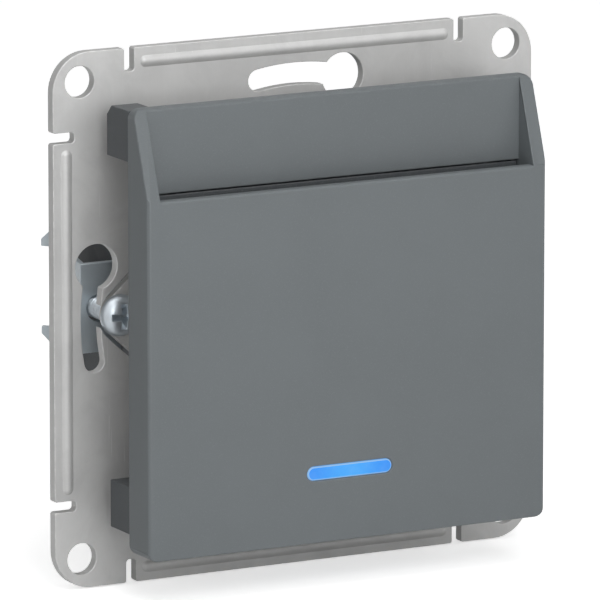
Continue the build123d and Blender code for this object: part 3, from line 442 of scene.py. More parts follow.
def finish_pair(name, colour, worn_colour, group, values, worn, dust_amount, constants):
    """Face and edge finish. The group gives colour, roughness and normal. On the edge the worn colour
    shows in patches. Dust lies over both."""
    pair = []
    for ending, wear in (("", 0.0), ("_edge", worn)):
        tree, shader, material = new_material(name + ending)
        clean = skin(tree, shader, group, {"Colour": opaque(colour), **values})
        if wear:
            wear_values = {"Colour": clean, "Worn colour": opaque(worn_colour), "Amount": wear}
            clean = place_group(tree, edge_wear, wear_values)["Colour"]
        dusty = place_group(tree, dust, {"Colour": clean, "Amount": dust_amount})
        tree.links.new(dusty["Colour"], shader.inputs["Base Color"])
        for socket, value in constants.items():
            shader.inputs[socket].default_value = value
        pair.append(material)
    return pair


# painted_glint sets how strongly the raised grain is tinted pale, a painted glint of light.
def plastic(name, colour, roughness=0.5, grain_mm=0.15, depth=0.2, dust_amount=0.12, worn=0.35,
            unevenness=0.05, painted_glint=0.04, specular=0.5):
    """Face and edge finish of a moulded plastic. Where it is worn, it is nearly half as light again."""
    values = {"Grain mm": grain_mm, "Depth": depth, "Roughness": roughness, "Unevenness": unevenness,
              "Painted glint": painted_glint}
    worn_colour = [min(1.0, 1.45 * c + 0.02) for c in colour]
    return finish_pair(name, colour, worn_colour, moulded_grain, values, worn, dust_amount,
                       {"Specular IOR Level": specular})


def metal(name, colour, patch_colour, roughness=0.35, patches=0.5, lines=0.25, scratches=0.3,
          stretch=(1.0, 1.0, 0.04), worn=0.5, dust_amount=0.1, metallic=1.0):
    """Face and edge finish of a rolled or drawn metal. Where it is worn, it is a quarter lighter."""
    values = {"Patch colour": opaque(patch_colour), "Patches": patches, "Roughness": roughness,
              "Lines": lines, "Scratches": scratches, "Stretch": stretch}
    worn_colour = [min(1.0, 1.25 * c + 0.04) for c in colour]
    return finish_pair(name, colour, worn_colour, rolled_metal, values, worn, dust_amount,
                       {"Metallic": metallic})


print("makers ready")

# %% [markdown]
# ## The finishes of this switch
# The plate is galvanised, the claws and screws are zinc plated with a bluish
# tint, the terminals are brass and the contacts silver. The plastics differ in
# grain: fine on the card holder, which people touch, coarser inside. Each finish
# is kept under the name of the slot that its pieces have in the frame.

# %% Finishes
finishes = {
    "zinc_plate": metal("galvanised_steel", (0.56, 0.56, 0.555), (0.47, 0.47, 0.468), roughness=0.55,
                        patches=0.45, lines=0.18, scratches=0.25, stretch=(1.0, 1.0, 0.05), metallic=0.45),
    "zinc_screw": metal("blue_zinc_screw", (0.62, 0.67, 0.71), (0.52, 0.59, 0.65), roughness=0.36,
                        patches=0.4, lines=0.1, scratches=0.4, stretch=(1.0, 0.3, 1.0), metallic=0.8),
    "zinc_claw": metal("blue_zinc_claw", (0.56, 0.62, 0.66), (0.45, 0.51, 0.55), roughness=0.36,
                       patches=0.5, lines=0.2, scratches=0.3, metallic=0.5),
    "spring_steel": metal("spring_steel", (0.52, 0.52, 0.53), (0.40, 0.40, 0.42), roughness=0.25,
                          patches=0.4, lines=0.3),
    "brass": metal("brass_strip", (0.78, 0.60, 0.30), (0.66, 0.46, 0.20), roughness=0.28,
                   patches=0.5, lines=0.25),
    "silver": metal("silver_contact", (0.88, 0.87, 0.84), (0.74, 0.72, 0.68), roughness=0.22,
                    patches=0.35, lines=0.05),
    "slate_plastic": plastic("slate_plastic", (0.139, 0.154, 0.161), roughness=0.48, grain_mm=0.13,
                             depth=0.10, dust_amount=0.05, worn=0.25, unevenness=0.04, painted_glint=0.03,
                             specular=0.3),
    "dark_plastic": plastic("dark_plastic", (0.056, 0.062, 0.067), roughness=0.55, grain_mm=0.20,
                            depth=0.2, dust_amount=0.03),
    "case_plastic": plastic("case_plastic", (0.56, 0.555, 0.545), roughness=0.55, grain_mm=0.22,
                            depth=0.25, dust_amount=0.08),
    "slider_plastic": plastic("slider_plastic", (0.62, 0.61, 0.58), roughness=0.45, grain_mm=0.2, depth=0.15),
    "lever_plastic": plastic("lever_plastic", (0.55, 0.20, 0.06), roughness=0.45, grain_mm=0.2, depth=0.15),
    "capacitor_body": plastic("capacitor_shell", (0.50, 0.33, 0.05), roughness=0.4, grain_mm=0.25,
                              depth=0.12),
    "board_green": plastic("board_green", (0.03, 0.14, 0.06), roughness=0.35, grain_mm=0.4, depth=0.15),
    "lead_insulation": plastic("lead_insulation", (0.03, 0.05, 0.30), roughness=0.4, grain_mm=0.3, depth=0.1),
}
print("finishes:", ", ".join(sorted(finishes)))

# %% [markdown]
# ## The light bar's plastic
# The bar is clear blue plastic, lit from behind in its middle. It glows most
# above the lamp and is a deeper blue towards its ends, so the glow's colour
# follows the distance from the middle.

# %% Light bar finish
bar_middle, bar_half_length = 0.15 * mm, 6.2 * mm
tree, shader, lens_material = new_material("blue_light_bar")
place = object_place(tree)
from_middle = math_node(tree, "ABSOLUTE", math_node(tree, "SUBTRACT", along_x(tree, place), bar_middle))
outward = ramp(tree, from_middle, 0.5 * mm, bar_half_length)
haze = noise(tree, place, 700.0, detail=3.0)
glow = mix_colours(tree, outward, (0.045, 0.37, 0.92, 1), (0.020, 0.28, 0.90, 1))
hazy = mix_colours(tree, ramp(tree, haze, 0.4, 0.75, 0.0, 0.10), glow, (0.30, 0.55, 0.95, 1))
tree.links.new(hazy, shader.inputs["Emission Color"])
plastic_colour = mix_colours(tree, outward, (0.010, 0.08, 0.20, 1), (0.005, 0.05, 0.18, 1))
tree.links.new(plastic_colour, shader.inputs["Base Color"])
tree.links.new(ramp(tree, haze, 0.3, 0.7, 0.16, 0.26), shader.inputs["Roughness"])
shader.inputs["Emission Strength"].default_value = 0.80
shader.inputs["Coat Weight"].default_value = 0.2
print("material", lens_material.name)

# %% [markdown]
# ## The light bar's rim
# Round its front the bar has a rounded rim. It bends the light of the lamp
# towards the eye, so it looks paler than the bar's flat front. A second material
# with a paler glow says the same without tracing light through the plastic.

# %% Light bar rim finish
tree, shader, rim_material = new_material("blue_light_bar_rim")
haze = noise(tree, object_place(tree), 900.0, detail=2.0)
rim_glow = mix_colours(tree, haze, (0.24, 0.45, 0.72, 1), (0.32, 0.54, 0.78, 1))
tree.links.new(rim_glow, shader.inputs["Emission Color"])
tree.links.new(ramp(tree, haze, 0.3, 0.7, 0.14, 0.24), shader.inputs["Roughness"])
shader.inputs["Base Color"].default_value = (0.05, 0.12, 0.25, 1)
shader.inputs["Emission Strength"].default_value = 0.75
finishes["blue_lens"] = [lens_material, rim_material]
print("material", rim_material.name)

# %% [markdown]
# ## Dressing a CAD solid
# A CAD solid arrives as loose triangles with knife-sharp edges. Real edges are
# never that sharp, and it is their small radius that catches the light. So a
# copy is merged into one skin, its flat areas are joined, and a Bevel modifier
# rounds each outward edge by about a tenth of a millimetre. The Weighted Normal
# modifier lets the larger face decide, so flat faces stay flat in the shading.

# %% Dress function
def stand_for(thing, node):
    """Lets a finished piece stand for a CAD node, on that node's body; the node itself is hidden."""
    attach(thing, body_of[node])
    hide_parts(node)
    return thing


def narrowest_face(edge):
    """How far the narrower of an edge's two faces reaches away from the edge, in metres."""
    start = edge.verts[0].co
    along = (edge.verts[1].co - start).normalized()
    return min(max((v.co - start).cross(along).length for v in face.verts) for face in edge.link_faces)


def edge_rounding(edge, radius):
    """Share of the radius that an edge gets: 0 up to a bend of 30 degrees, 1 from 60 degrees on, and less
    where it would take up more than 0.45 of a neighbouring face."""
    least_bend, full_bend, face_share = 30, 60, 0.45
    fade = (math.degrees(edge.calc_face_angle()) - least_bend) / (full_bend - least_bend)
    return max(0.0, min(1.0, fade, face_share * narrowest_face(edge) / radius))


def merged_copy(node, name, radius):
    """A CAD node's mesh as one skin of flat areas, with a rounding weight on each outward edge."""
    same_point, no_length, same_flat = 0.002 * mm, 0.001 * mm, math.radians(0.15)
    work = bmesh.new()
    work.from_mesh(nodes[node].data)
    bmesh.ops.remove_doubles(work, verts=work.verts, dist=same_point)
    bmesh.ops.dissolve_degenerate(work, dist=no_length, edges=work.edges)
    bmesh.ops.dissolve_limit(work, angle_limit=same_flat, verts=work.verts, edges=work.edges)
    weight = work.edges.layers.float.new("bevel_weight_edge")
    for edge in work.edges:
        if edge.is_manifold and edge.is_convex:
            edge[weight] = edge_rounding(edge, radius)
    mesh = bpy.data.meshes.new(name)
    work.to_mesh(mesh)
    work.free()
    mesh.polygons.foreach_set("material_index", np.zeros(len(mesh.polygons), np.int32))
    return mesh


def dressed(node, name, radius):
    """A merged copy of a CAD node. Its outer edges are rounded in the edge finish; inner corners stay."""
    mesh = merged_copy(node, name, radius)
    thing = show_mesh(name, mesh, finishes[slot_of[node]], sharp_degrees=38)
    bevel = thing.modifiers.new("rounded_edges", "BEVEL")
    bevel.width = radius
    bevel.segments = 2
    bevel.limit_method = "WEIGHT"
    bevel.use_clamp_overlap = False
    bevel.material = 1
    flat = thing.modifiers.new("flat_faces", "WEIGHTED_NORMAL")
    flat.weight = 100
    flat.keep_sharp = True
    return stand_for(thing, node)


print("dress ready")

# %% [markdown]
# ## Plate, card holder and case
# These are the large pieces. The stamped plate keeps a crisp edge, the moulded
# parts are rounder.

# %% Large pieces
large = {
    "support_plate": ("plate_stamped", 0.09),
    "front_cover": ("card_holder_shell", 0.14),
    "card_guide": ("inner_frame", 0.12),
    "mechanism_front": ("case_front", 0.12),
    "mechanism_base": ("case_rear", 0.14),
}
for node, (name, radius_mm) in large.items():
    thing = dressed(node, name, radius_mm * mm)
    print(name, len(thing.data.polygons), "faces before the bevel")

# %% [markdown]
# ## Smaller flat and moulded pieces
# Claws, strips, levers and the slider are dressed in the same way, with radii
# that suit their size.

# %% Small pieces
small = {
    "left_claw": ("claw_left_strap", 0.08),
    "right_claw": ("claw_right_strap", 0.08),
    "card_slider": ("slider_moulded", 0.10),
    "contact_rocker": ("rocker_moulded", 0.08),
    "contact_blade": ("blade_strip", 0.04),
    "common_terminal_strip": ("common_strip", 0.05),
    "on_terminal_strip": ("on_strip", 0.05),
    "off_terminal_strip": ("off_strip", 0.05),
    "neutral_terminal_strip": ("neutral_strip", 0.05),
    "lamp_board": ("board_cut", 0.05),
    "lamp_capacitor": ("capacitor_block", 0.05),
}
terminals = ("common", "on", "off", "neutral")
for terminal in terminals:
    small[terminal + "_release_lever"] = (terminal + "_lever_moulded", 0.10)
for node, (name, radius_mm) in small.items():
    dressed(node, name, radius_mm * mm)
print("small pieces:", len(small))

# %% [markdown]
# ## Surfaces from rings
# Turned, coiled and drawn pieces are easiest to write as rings: a closed row of
# points, repeated along the piece. Neighbouring rings are joined by four sided
# faces and the two ends are closed by a fan to their middle. The whole piece is
# one array, so no step of it depends on chance. The signed volume tells whether
# the faces look outwards.

# %% Ring surfaces
def ring_quads(rows, columns):
    """Four sided faces between neighbouring rings."""
    v = np.arange(rows - 1)[:, None] * columns
    u = np.arange(columns)[None, :]
    after = (u + 1) % columns
    return np.stack([v + u, v + after, v + columns + after, v + columns + u], -1).reshape(-1, 4).tolist()


def signed_volume(points, triangles):
    """A sixth of the first corner times the cross product of the other two, summed over all triangles. It
    is above 0 when they look outwards."""
    a, b, c = (points[triangles[:, corner]] for corner in range(3))
    return np.einsum("ij,ij->", a, np.cross(b, c)) / 6


def ring_solid(rings):
    """rings is (rows, columns, 3) in mm. Gives the points with a pole in the middle of each end, and the
    faces, quads between the rings and a fan round each pole, so that they look outwards."""
    rows, columns = rings.shape[:2]
    points = np.concatenate([rings.reshape(-1, 3), [rings[0].mean(0)], [rings[-1].mean(0)]])
    pole, last_ring = rows * columns, (rows - 1) * columns
    u = np.arange(columns)
    after = (u + 1) % columns
    first_fan = np.stack([np.full(columns, pole), after, u], -1)
    last_fan = np.stack([np.full(columns, pole + 1), last_ring + u, last_ring + after], -1)
    faces = ring_quads(rows, columns) + first_fan.tolist() + last_fan.tolist()
    triangles = [face[:3] for face in faces] + [face[:1] + face[2:] for face in faces if len(face) == 4]
    outwards = signed_volume(points, np.array(triangles)) > 0
    return points, faces if outwards else [face[::-1] for face in faces]


def build(name, solids, finish, node, sharp_degrees=35, slots=None):
    """One object from several solids in mm, with a material index for each solid."""
    points, faces, index = [], [], []
    for slot, (solid_points, solid_faces) in zip(slots or [0] * len(solids), solids):
        base = sum(len(p) for p in points)
        points.append(solid_points)
        faces += [[i + base for i in face] for face in solid_faces]
        index += [slot] * len(solid_faces)
    mesh = bpy.data.meshes.new(name)
    mesh.from_pydata((np.concatenate(points) * mm).tolist(), [], faces)
    mesh.polygons.foreach_set("material_index", np.array(index, np.int32))
    print(name, len(mesh.polygons), "faces")
    return stand_for(show_mesh(name, mesh, finish, sharp_degrees), node)


print("ring solids ready")

# %% [markdown]
# ## Rings of turned pieces
# A turned piece is a list of radii and heights, swept round an axis, as on a
# lathe. It is drawn along Z, and then laid along the axis that it has in the
# switch. Many are alike at both ends, so one end is written and mirrored.

# %% Turned rings
def even_angles(columns):
    """The angles of columns points spread evenly round a full turn."""
    return np.linspace(0, 2 * math.pi, columns, endpoint=False)


def round_rings(radius, height, columns):
    """Rings about Z: x is radius times the cosine and y radius times the sine of each angle. radius and
    height hold one number for each row, or one for each row and angle."""
    phi = even_angles(columns)
    return np.stack(np.broadcast_arrays(radius * np.cos(phi), radius * np.sin(phi), height), -1)


def turned(profile, columns=48):
    """Rings of a turned piece along +Z from (radius, height) pairs."""
    profile = np.array(profile, float)
    return round_rings(profile[:, :1], profile[:, 1:], columns)


def mirrored(profile, length):
    """The (radius, height) pairs of a profile from its other end, where the height is length."""
    return [(radius, length - height) for radius, height in profile[::-1]]


def facing_back(rings, x, y, z):
    """Turns rings that run along +Z so that they run along +Y from y, about the axis at x, z."""
    return np.stack([rings[..., 0] + x, rings[..., 2] + y, rings[..., 1] + z], -1)


def facing_right(rings, x, y, z):
    """Turns rings that run along +Z so that they run along +X from x, about the axis at y, z."""
    return np.stack([rings[..., 2] + x, rings[..., 0] + y, rings[..., 1] + z], -1)


def box_mm(node):
    """The low and the high corner of a CAD node, in mm."""
    return [np.array(corner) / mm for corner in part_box(node)]


print("turned rings ready")

# %% [markdown]
# ## Rings of bent wires
# A bent wire is a circle carried along a path of straight runs and arcs. The
# path is worked out first, from its corners and one bend radius, and then each
# of its points gets a circle that stands square to it.

# %% Bent rings
def directions(path):
    """The unit direction of a path at each of its points."""
    along = np.gradient(path, axis=0)
    return along / np.linalg.norm(along, axis=1, keepdims=True)


def tube(path, radius, columns=16):
    """Rings of radius round the points of a path. The side vector starts square to the path and to a
    slanted line that no wire runs along. It is carried from point to point by taking away its share along
    the path, so the tube doesn't twist."""
    slanted = [0.3, 0.5, 0.8]
    along = directions(path)
    side = np.cross(along[0], slanted)
    phi = even_angles(columns)[:, None]
    rings = []
    for point, direction, r in zip(path, along, np.broadcast_to(radius, len(path))):
        side = side - direction * (side @ direction)
        side /= np.linalg.norm(side)
        up = np.cross(direction, side)
        rings.append(point + r * (np.cos(phi) * side + np.sin(phi) * up))
    return np.array(rings)


def lengths_along(path):
    """How far along the path each of its points lies."""
    return np.concatenate([[0], np.cumsum(np.linalg.norm(np.diff(path, axis=0), axis=1))])


def rounded_path(corners, radius, steps=10):
    """Straight runs joined by arcs of the radius, with points at most 0.25 mm apart. A point of an arc is
    the sum of its two end spokes, each times the sine of the angle to the other one, over the sine of the
    whole swing."""
    corners = np.array(corners, float)
    points = [corners[0]]
    for before, corner, after in zip(corners, corners[1:], corners[2:]):
        to_before = (before - corner) / np.linalg.norm(before - corner)
        to_after = (after - corner) / np.linalg.norm(after - corner)
        inward = to_before + to_after
        half = math.acos(np.clip(to_before @ to_after, -1, 1)) / 2
        middle = corner + inward / np.linalg.norm(inward) * radius / math.sin(half)
        first_spoke = corner + to_before * radius / math.tan(half) - middle
        last_spoke = corner + to_after * radius / math.tan(half) - middle
        swing = math.acos(np.clip(first_spoke @ last_spoke / radius ** 2, -1, 1))
        angle = np.linspace(0, swing, steps)[:, None]
        arc = (first_spoke * np.sin(swing - angle) + last_spoke * np.sin(angle)) / math.sin(swing)
        points += list(middle + arc)
    points = np.array(points + [corners[-1]])
    widest, narrowest = 0.25, 0.02
    at = lengths_along(points)
    places = np.unique(np.concatenate([np.arange(0, at[-1], widest), at]))
    places = places[np.concatenate([[True], np.diff(places) > narrowest])]
    return np.stack([np.interp(places, at, points[:, k]) for k in range(3)], -1)


print("bent rings ready")

# %% [markdown]
# ## Screws with real threads
# A thread is a ridge that climbs one pitch for each turn. On a ring surface
# that is one formula: the radius depends on the height minus the share of a
# turn. The head is a dome whose height is lowered where the driver goes in.

# %% Screw shape
def screw_head(radius, height, recess, columns):
    """Rings from the middle of a domed head to its rim. At a share of the radius, the dome lies below the
    top by one less a root of one less the share cubed. recess says how deep the driver's place is at x, z.
    The rings lie closer together towards the rim."""
    rim_start, rim_edge = 0.80, 0.05
    rim_shares = 1 - (1 - rim_start) * np.cos(np.linspace(0, math.pi / 2, 14))
    share = np.concatenate([np.linspace(0.03, rim_start, 44), rim_shares])[:, None]
    dome = 0.93 * height * (1 - (1 - share ** 3) ** (1 / 1.55))
    phi = even_angles(columns)
    deep = recess(share * radius * np.cos(phi), share * radius * np.sin(phi))
    rim = turned([(radius, 0.97 * height), (radius - rim_edge, height)], columns)
    return np.concatenate([round_rings(share * radius, dome + deep, columns), rim])


def screw_thread(radius, pitch, length, columns):
    """Rings of a threaded shank from height 0. The groove is deepest where the height in pitches, less the
    share of a turn, is a half past a whole number. It runs in below the head and out at the tip, where the
    shank is a little thinner."""
    groove_depth, run_in, run_out, tip_taper = 0.55 * pitch, 1.2 * pitch, 0.8 * pitch, 0.15
    height = np.arange(0, length, pitch / 12)[1:, None]
    fade = np.minimum(1.0, np.minimum(height / run_in, (length - height) / run_out + 0.15))
    phase = (height / pitch - even_angles(columns) / (2 * math.pi)) % 1.0
    groove = groove_depth * np.clip(1 - abs(2 * phase - 1) * 1.25, 0, 0.9) * fade
    taper = tip_taper * (1 - fade) * (height > length / 2)
    neck = turned([(radius, 0)], columns)
    tip = turned([(0.62 * radius, length)], columns)
    return np.concatenate([neck, round_rings(radius - groove - taper, height, columns), tip])


def screw_rings(head_radius, head_height, shank_radius, pitch, length, recess, columns):
    """Rings of a whole screw, from the top of its head at height 0 to its tip at length."""
    head = screw_head(head_radius, head_height, recess, columns)
    thread = screw_thread(shank_radius, pitch, length - head_height, columns)
    return np.concatenate([head, thread + np.array([0, 0, head_height])])


print("screw shape ready")

# %% [markdown]
# ## The claw screws
# These are turned from the front to spread the claws, so they have a large head
# with a cross recess. The cross narrows towards its bottom, as the driver's tip
# does. Two arms with sloping walls make it, and the deeper arm counts.

# %% Claw screws
def cross_recess(x, z):
    """Depth of the cross at x, z. Each arm's depth rises from its walls and from its ends."""
    reach, width, depth = 1.75, 0.85, 1.1
    wall_slope, end_slope = 4.0, 1.15

    def arm(along, across):
        wall = (width / 2 - abs(across)) * wall_slope
        end = (reach - abs(along)) * end_slope
        return np.clip(np.minimum(wall, end), 0, depth)
    return np.maximum(arm(x, z), arm(z, x))


claw_screw_sizes = {"head_radius": 2.8, "head_height": 1.7, "shank_radius": 1.5, "pitch": 0.7}
for node in ("left_claw_screw", "right_claw_screw"):
    low, high = box_mm(node)
    middle = (low + high) / 2
    rings = screw_rings(**claw_screw_sizes, length=high[1] - low[1], recess=cross_recess, columns=128)
    rings = facing_back(rings, middle[0], low[1], middle[2])
    build(node + "_threaded", [ring_solid(rings)], finishes["zinc_screw"][:1], node, sharp_degrees=50)

# %% [markdown]
# ## The two case screws
# They hold both halves of the case. Their heads have one straight slot, and
# they are smaller than the claw screws.

# %% Case screws
def straight_slot(x, z):
    """Depth of a slot along x with steep walls, at x, z."""
    half_width, wall_slope, depth = 0.3, 6.0, 0.55
    return np.clip((half_width - abs(z)) * wall_slope, 0, depth)


case_screw_sizes = {"head_radius": 2.6, "head_height": 1.2, "shank_radius": 1.3, "pitch": 0.6}
case_screw_offset = 16.0
low, high = box_mm("case_screws")
rings = screw_rings(**case_screw_sizes, length=high[1] - low[1], recess=straight_slot, columns=96)
case_screw_solids = [ring_solid(facing_back(rings, side * case_screw_offset, low[1], 0)) for side in (-1, 1)]
build("case_screws_threaded", case_screw_solids, finishes["zinc_screw"][:1], "case_screws", sharp_degrees=50)

# %% [markdown]
# ## Return spring
# A compression spring has wide turns in its middle and closed turns at both
# ends, where it stands. Its wire is a tube along a helix whose pitch changes.
# It shortens as the card slider goes down.

# %% Slider spring
spring_wire = 0.19
spring_turns = 9
closed_rise = 2 * spring_wire + 0.02
low, high = box_mm("slider_spring")
centre_x, centre_y = (low[:2] + high[:2]) / 2
coil_radius = (high[0] - low[0]) / 2 - spring_wire
open_rise = high[2] - low[2] - 2 * spring_wire - 2 * closed_rise

turns = np.linspace(0, spring_turns, spring_turns * 40 + 1)
closed_turns = np.minimum(turns, 1) + np.clip(turns - spring_turns + 1, 0, 1)
open_share = np.clip((turns - 1) / (spring_turns - 2), 0, 1)
height = low[2] + spring_wire + closed_rise * closed_turns + open_rise * open_share
angle = turns * 2 * math.pi
helix = np.stack([centre_x + coil_radius * np.cos(angle), centre_y + coil_radius * np.sin(angle), height], -1)
spring = build("slider_spring_coiled", [ring_solid(tube(helix, spring_wire))], finishes["spring_steel"][:1],
               "slider_spring")

card_stroke = 5.0
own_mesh(spring)

# %% [markdown]
# ## Clamp springs
# Each terminal has a folded leaf of spring steel. The strip keeps its thickness
# round every bend, so its outline is a middle line with rounded corners and a
# constant half thickness on both sides. Rings of that outline are carried up
# the leaf's height, and the first and last rings are a little smaller.

# %% Clamp springs
def strip_outline(corners, thickness, bend):
    """A closed outline round a middle line of (x, y) corners, with both ends rounded."""
    line = rounded_path([(x, y, 0) for x, y in corners], bend, steps=8)[:, :2]
    along = directions(line)
    left = np.stack([-along[:, 1], along[:, 0]], -1) * thickness / 2
    nose = np.linspace(-math.pi / 2, math.pi / 2, 7)[1:-1, None]
    head = line[-1] + np.sin(nose) * left[-1] + np.cos(nose) * along[-1] * thickness / 2
    tail = line[0] - np.sin(nose) * left[0] - np.cos(nose) * along[0] * thickness / 2
    return np.concatenate([line - left, head, (line + left)[::-1], tail])


def outline_solid(outline, low, high):
    """Carries an outline from low to high along Z, closed by one flat face at each end. The end rings are
    moved inwards, at right angles to the line between each point's neighbours."""
    edge = 0.05
    after, before = np.roll(outline, -1, 0), np.roll(outline, 1, 0)
    area = np.sum(outline[:, 0] * after[:, 1] - outline[:, 1] * after[:, 0])
    inward = np.stack([before[:, 1] - after[:, 1], after[:, 0] - before[:, 0]], -1) * np.sign(area)
    inward /= np.linalg.norm(inward, axis=1, keepdims=True)
    smaller = outline + inward * edge
    rows = [(smaller, low), (outline, low + edge), (outline, high - edge), (smaller, high)]
    points = np.concatenate([np.column_stack([ring, np.full(len(ring), z)]) for ring, z in rows])
    u = np.arange(len(outline))
    last_ring = (len(rows) - 1) * len(outline)
    faces = ring_quads(len(rows), len(outline)) + [u[::-1].tolist(), (u + last_ring).tolist()]
    return points, faces if area > 0 else [face[::-1] for face in faces]


leaf_thickness, leaf_bend = 0.38, 0.45
leaf_inset, leaf_end_inset, leaf_tip_inset = 0.2, 0.1, 0.3
leaf_side_depth, leaf_tip_reach = 1.8, 3.9
for terminal in terminals:
    node = terminal + "_clamp_spring"
    low, high = box_mm(node)
    front, shoulder = low[1] + leaf_inset, high[0] - leaf_inset
    corners = [(low[0] + leaf_end_inset, front), (shoulder, front), (shoulder, low[1] + leaf_side_depth),
               (high[0] - leaf_tip_reach, high[1] - leaf_tip_inset)]
    solid = outline_solid(strip_outline(corners, leaf_thickness, leaf_bend), low[2], high[2])
    leaf = build(terminal + "_clamp_leaf", [solid], finishes["spring_steel"][:1], node)
    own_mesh(leaf)

# %% [markdown]
# ## Light bar
# The bar is a stadium: a rectangle with half circles at both ends. The same
# outline in different sizes gives its front, the rounded rim that catches the
# light, the collar that keeps it in the cover, and the stem towards the lamp.

# %% Light bar
bar_columns = 96


def stadium(length, height):
    """Points round a stadium of that whole length and height: a circle whose left and right halves are
    moved apart. The topmost and lowest points stay in the middle."""
    radius = min(height, length) / 2
    phi = even_angles(bar_columns)
    away = np.sign(np.round(np.cos(phi), 9)) * (length / 2 - radius)
    return np.stack([radius * np.cos(phi) + away, radius * np.sin(phi)], -1)


bar_length, bar_height, stem_length, collar = 12.5, 1.87, 4.0, 1.0
low, high = box_mm("indicator_lens")
middle = (low + high) / 2
depth = high[1] - low[1]
# Each pair is how far the outline is drawn in, and how far it lies behind the front.
bar_insets = [(0.60, 0), (0.19, 0), (0.12, 0.02), (0.05, 0.08), (0, 0.20), (0, 1.62),
              (0.05 - collar, 1.65), (-collar, 1.75), (-collar, 2.40), (0.05 - collar, 2.45)]
stem_insets = [(0, 2.50), (0, depth - 0.05), (0.05, depth)]
rings = []
for length, insets in ((bar_length, bar_insets), (stem_length, stem_insets)):
    for inset, behind in insets:
        outline = stadium(length - 2 * inset, bar_height - 2 * inset)
        y = np.full(bar_columns, low[1] + behind)
        rings.append(np.stack([outline[:, 0] + middle[0], y, outline[:, 1] + middle[2]], -1))
solid = ring_solid(np.array(rings))
light_bar = build("light_bar", [solid], finishes["blue_lens"], "indicator_lens", sharp_degrees=30)

# The faces come in bands of one per column. The second, third and fourth band are the rim.
finish_index = np.zeros(len(solid[1]), np.int32)
finish_index[bar_columns:4 * bar_columns] = 1
light_bar.data.polygons.foreach_set("material_index", finish_index)

# %% [markdown]
# ## Lamp
# The lamp behind the bar is a turned dome with a flange round its foot. A dome
# is a quarter circle, from the middle of its top out to the lamp's side. The
# rear is flat and sits on the board.

# %% Lamp
dome_radius, flange_radius, flange_depth, flange_edge = 1.3, 1.5, 1.0, 0.08
low, high = box_mm("led_lamp")
middle = (low + high) / 2
depth = high[1] - low[1]
profile = [(dome_radius * math.sin(a), dome_radius * (1 - math.cos(a)))
           for a in np.linspace(0.05, math.pi / 2, 14)]
profile += [(dome_radius, depth - flange_depth), (flange_radius, depth - flange_depth + 0.05),
            (flange_radius, depth - flange_edge), (flange_radius - flange_edge, depth), (0.3, depth)]
rings = facing_back(turned(profile), middle[0], low[1], middle[2])
build("led_dome", [ring_solid(rings)], finishes["blue_lens"][:1], "led_lamp")

# %% [markdown]
# ## Resistor finish
# A resistor's lacquer carries coloured rings that say its value. They are bands
# along its length, so a ramp with hard steps reads the place along X.

# %% Resistor finish
body_radius, wire_radius, wire_reach, cad_wire_radius = 1.1, 0.3, 1.1, 0.35
low, high = box_mm("lamp_resistor")
axis_y, axis_z = high[1] - body_radius, (low[2] + high[2]) / 2
left, right = low[0] + wire_reach + cad_wire_radius, high[0] - wire_reach - cad_wire_radius
length = right - left

band_width = 0.08
lacquer_colour = (0.55, 0.42, 0.26, 1)
bands = {0.12: (0.20, 0.05, 0.01, 1), 0.30: (0.02, 0.02, 0.02, 1), 0.48: (0.60, 0.12, 0.01, 1),
         0.78: (0.60, 0.42, 0.10, 1)}
tree, shader, band_material = new_material("resistor_bands")
from_left = math_node(tree, "SUBTRACT", along_x(tree, object_place(tree)), left * mm)
share = math_node(tree, "DIVIDE", from_left, length * mm)
band_ramp = add(tree, "ShaderNodeValToRGB", {0: share})
band_ramp.color_ramp.interpolation = "CONSTANT"
steps = band_ramp.color_ramp.elements
steps[0].color = lacquer_colour
steps[1].position = 1.0
steps[1].color = lacquer_colour
for position, colour in bands.items():
    steps.new(position).color = colour
    steps.new(position + band_width).color = lacquer_colour
lacquer_values = {"Colour": band_ramp.outputs[0], "Grain mm": 0.3, "Depth": 0.1, "Roughness": 0.3,
                  "Unevenness": 0.06, "Painted glint": 0.02}
tree.links.new(skin(tree, shader, moulded_grain, lacquer_values), shader.inputs["Base Color"])
print("material", band_material.name)

# %% [markdown]
# ## Resistor
# Its body swells at both ends, over the caps that hold the wires. The wires are
# bent down to the board.

# %% Resistor
share = np.linspace(0, 1, 41)
swell = 0.86 + 0.14 * np.clip(-1.6 * np.cos((share - 0.5) * 2 * math.pi), -1, 1)
end_face = [(0.35, 0.0), (0.8, 0.03)]
body = list(zip(body_radius * swell, 0.12 + (length - 0.24) * share))
barrel = facing_right(turned(end_face + body + mirrored(end_face, length), 40), left, axis_y, axis_z)
wire_overlap, wire_bend, board_gap = 0.3, 0.6, 0.02
resistor_solids = [ring_solid(barrel)]
for end, side in ((left, -1), (right, 1)):
    bend_x = end + side * wire_reach
    corners = [(end - side * wire_overlap, axis_y, axis_z), (bend_x, axis_y, axis_z),
               (bend_x, low[1] + board_gap, axis_z)]
    resistor_solids.append(ring_solid(tube(rounded_path(corners, wire_bend), wire_radius)))
build("resistor_banded", resistor_solids, [band_material, finishes["zinc_screw"][0]], "lamp_resistor",
      slots=[0, 1, 1])

# %% [markdown]
# ## Leads
# Two insulated leads go from the board to the common strip below and the neutral
# strip above. Each is bare, tinned wire at both ends, with a blob of solder at
# the strip.

# %% Leads
def trimmed(path, start, end):
    """The points of a path between two lengths, the second counted from its far end."""
    at = lengths_along(path)
    return path[(at >= start) & (at <= at[-1] - end)]


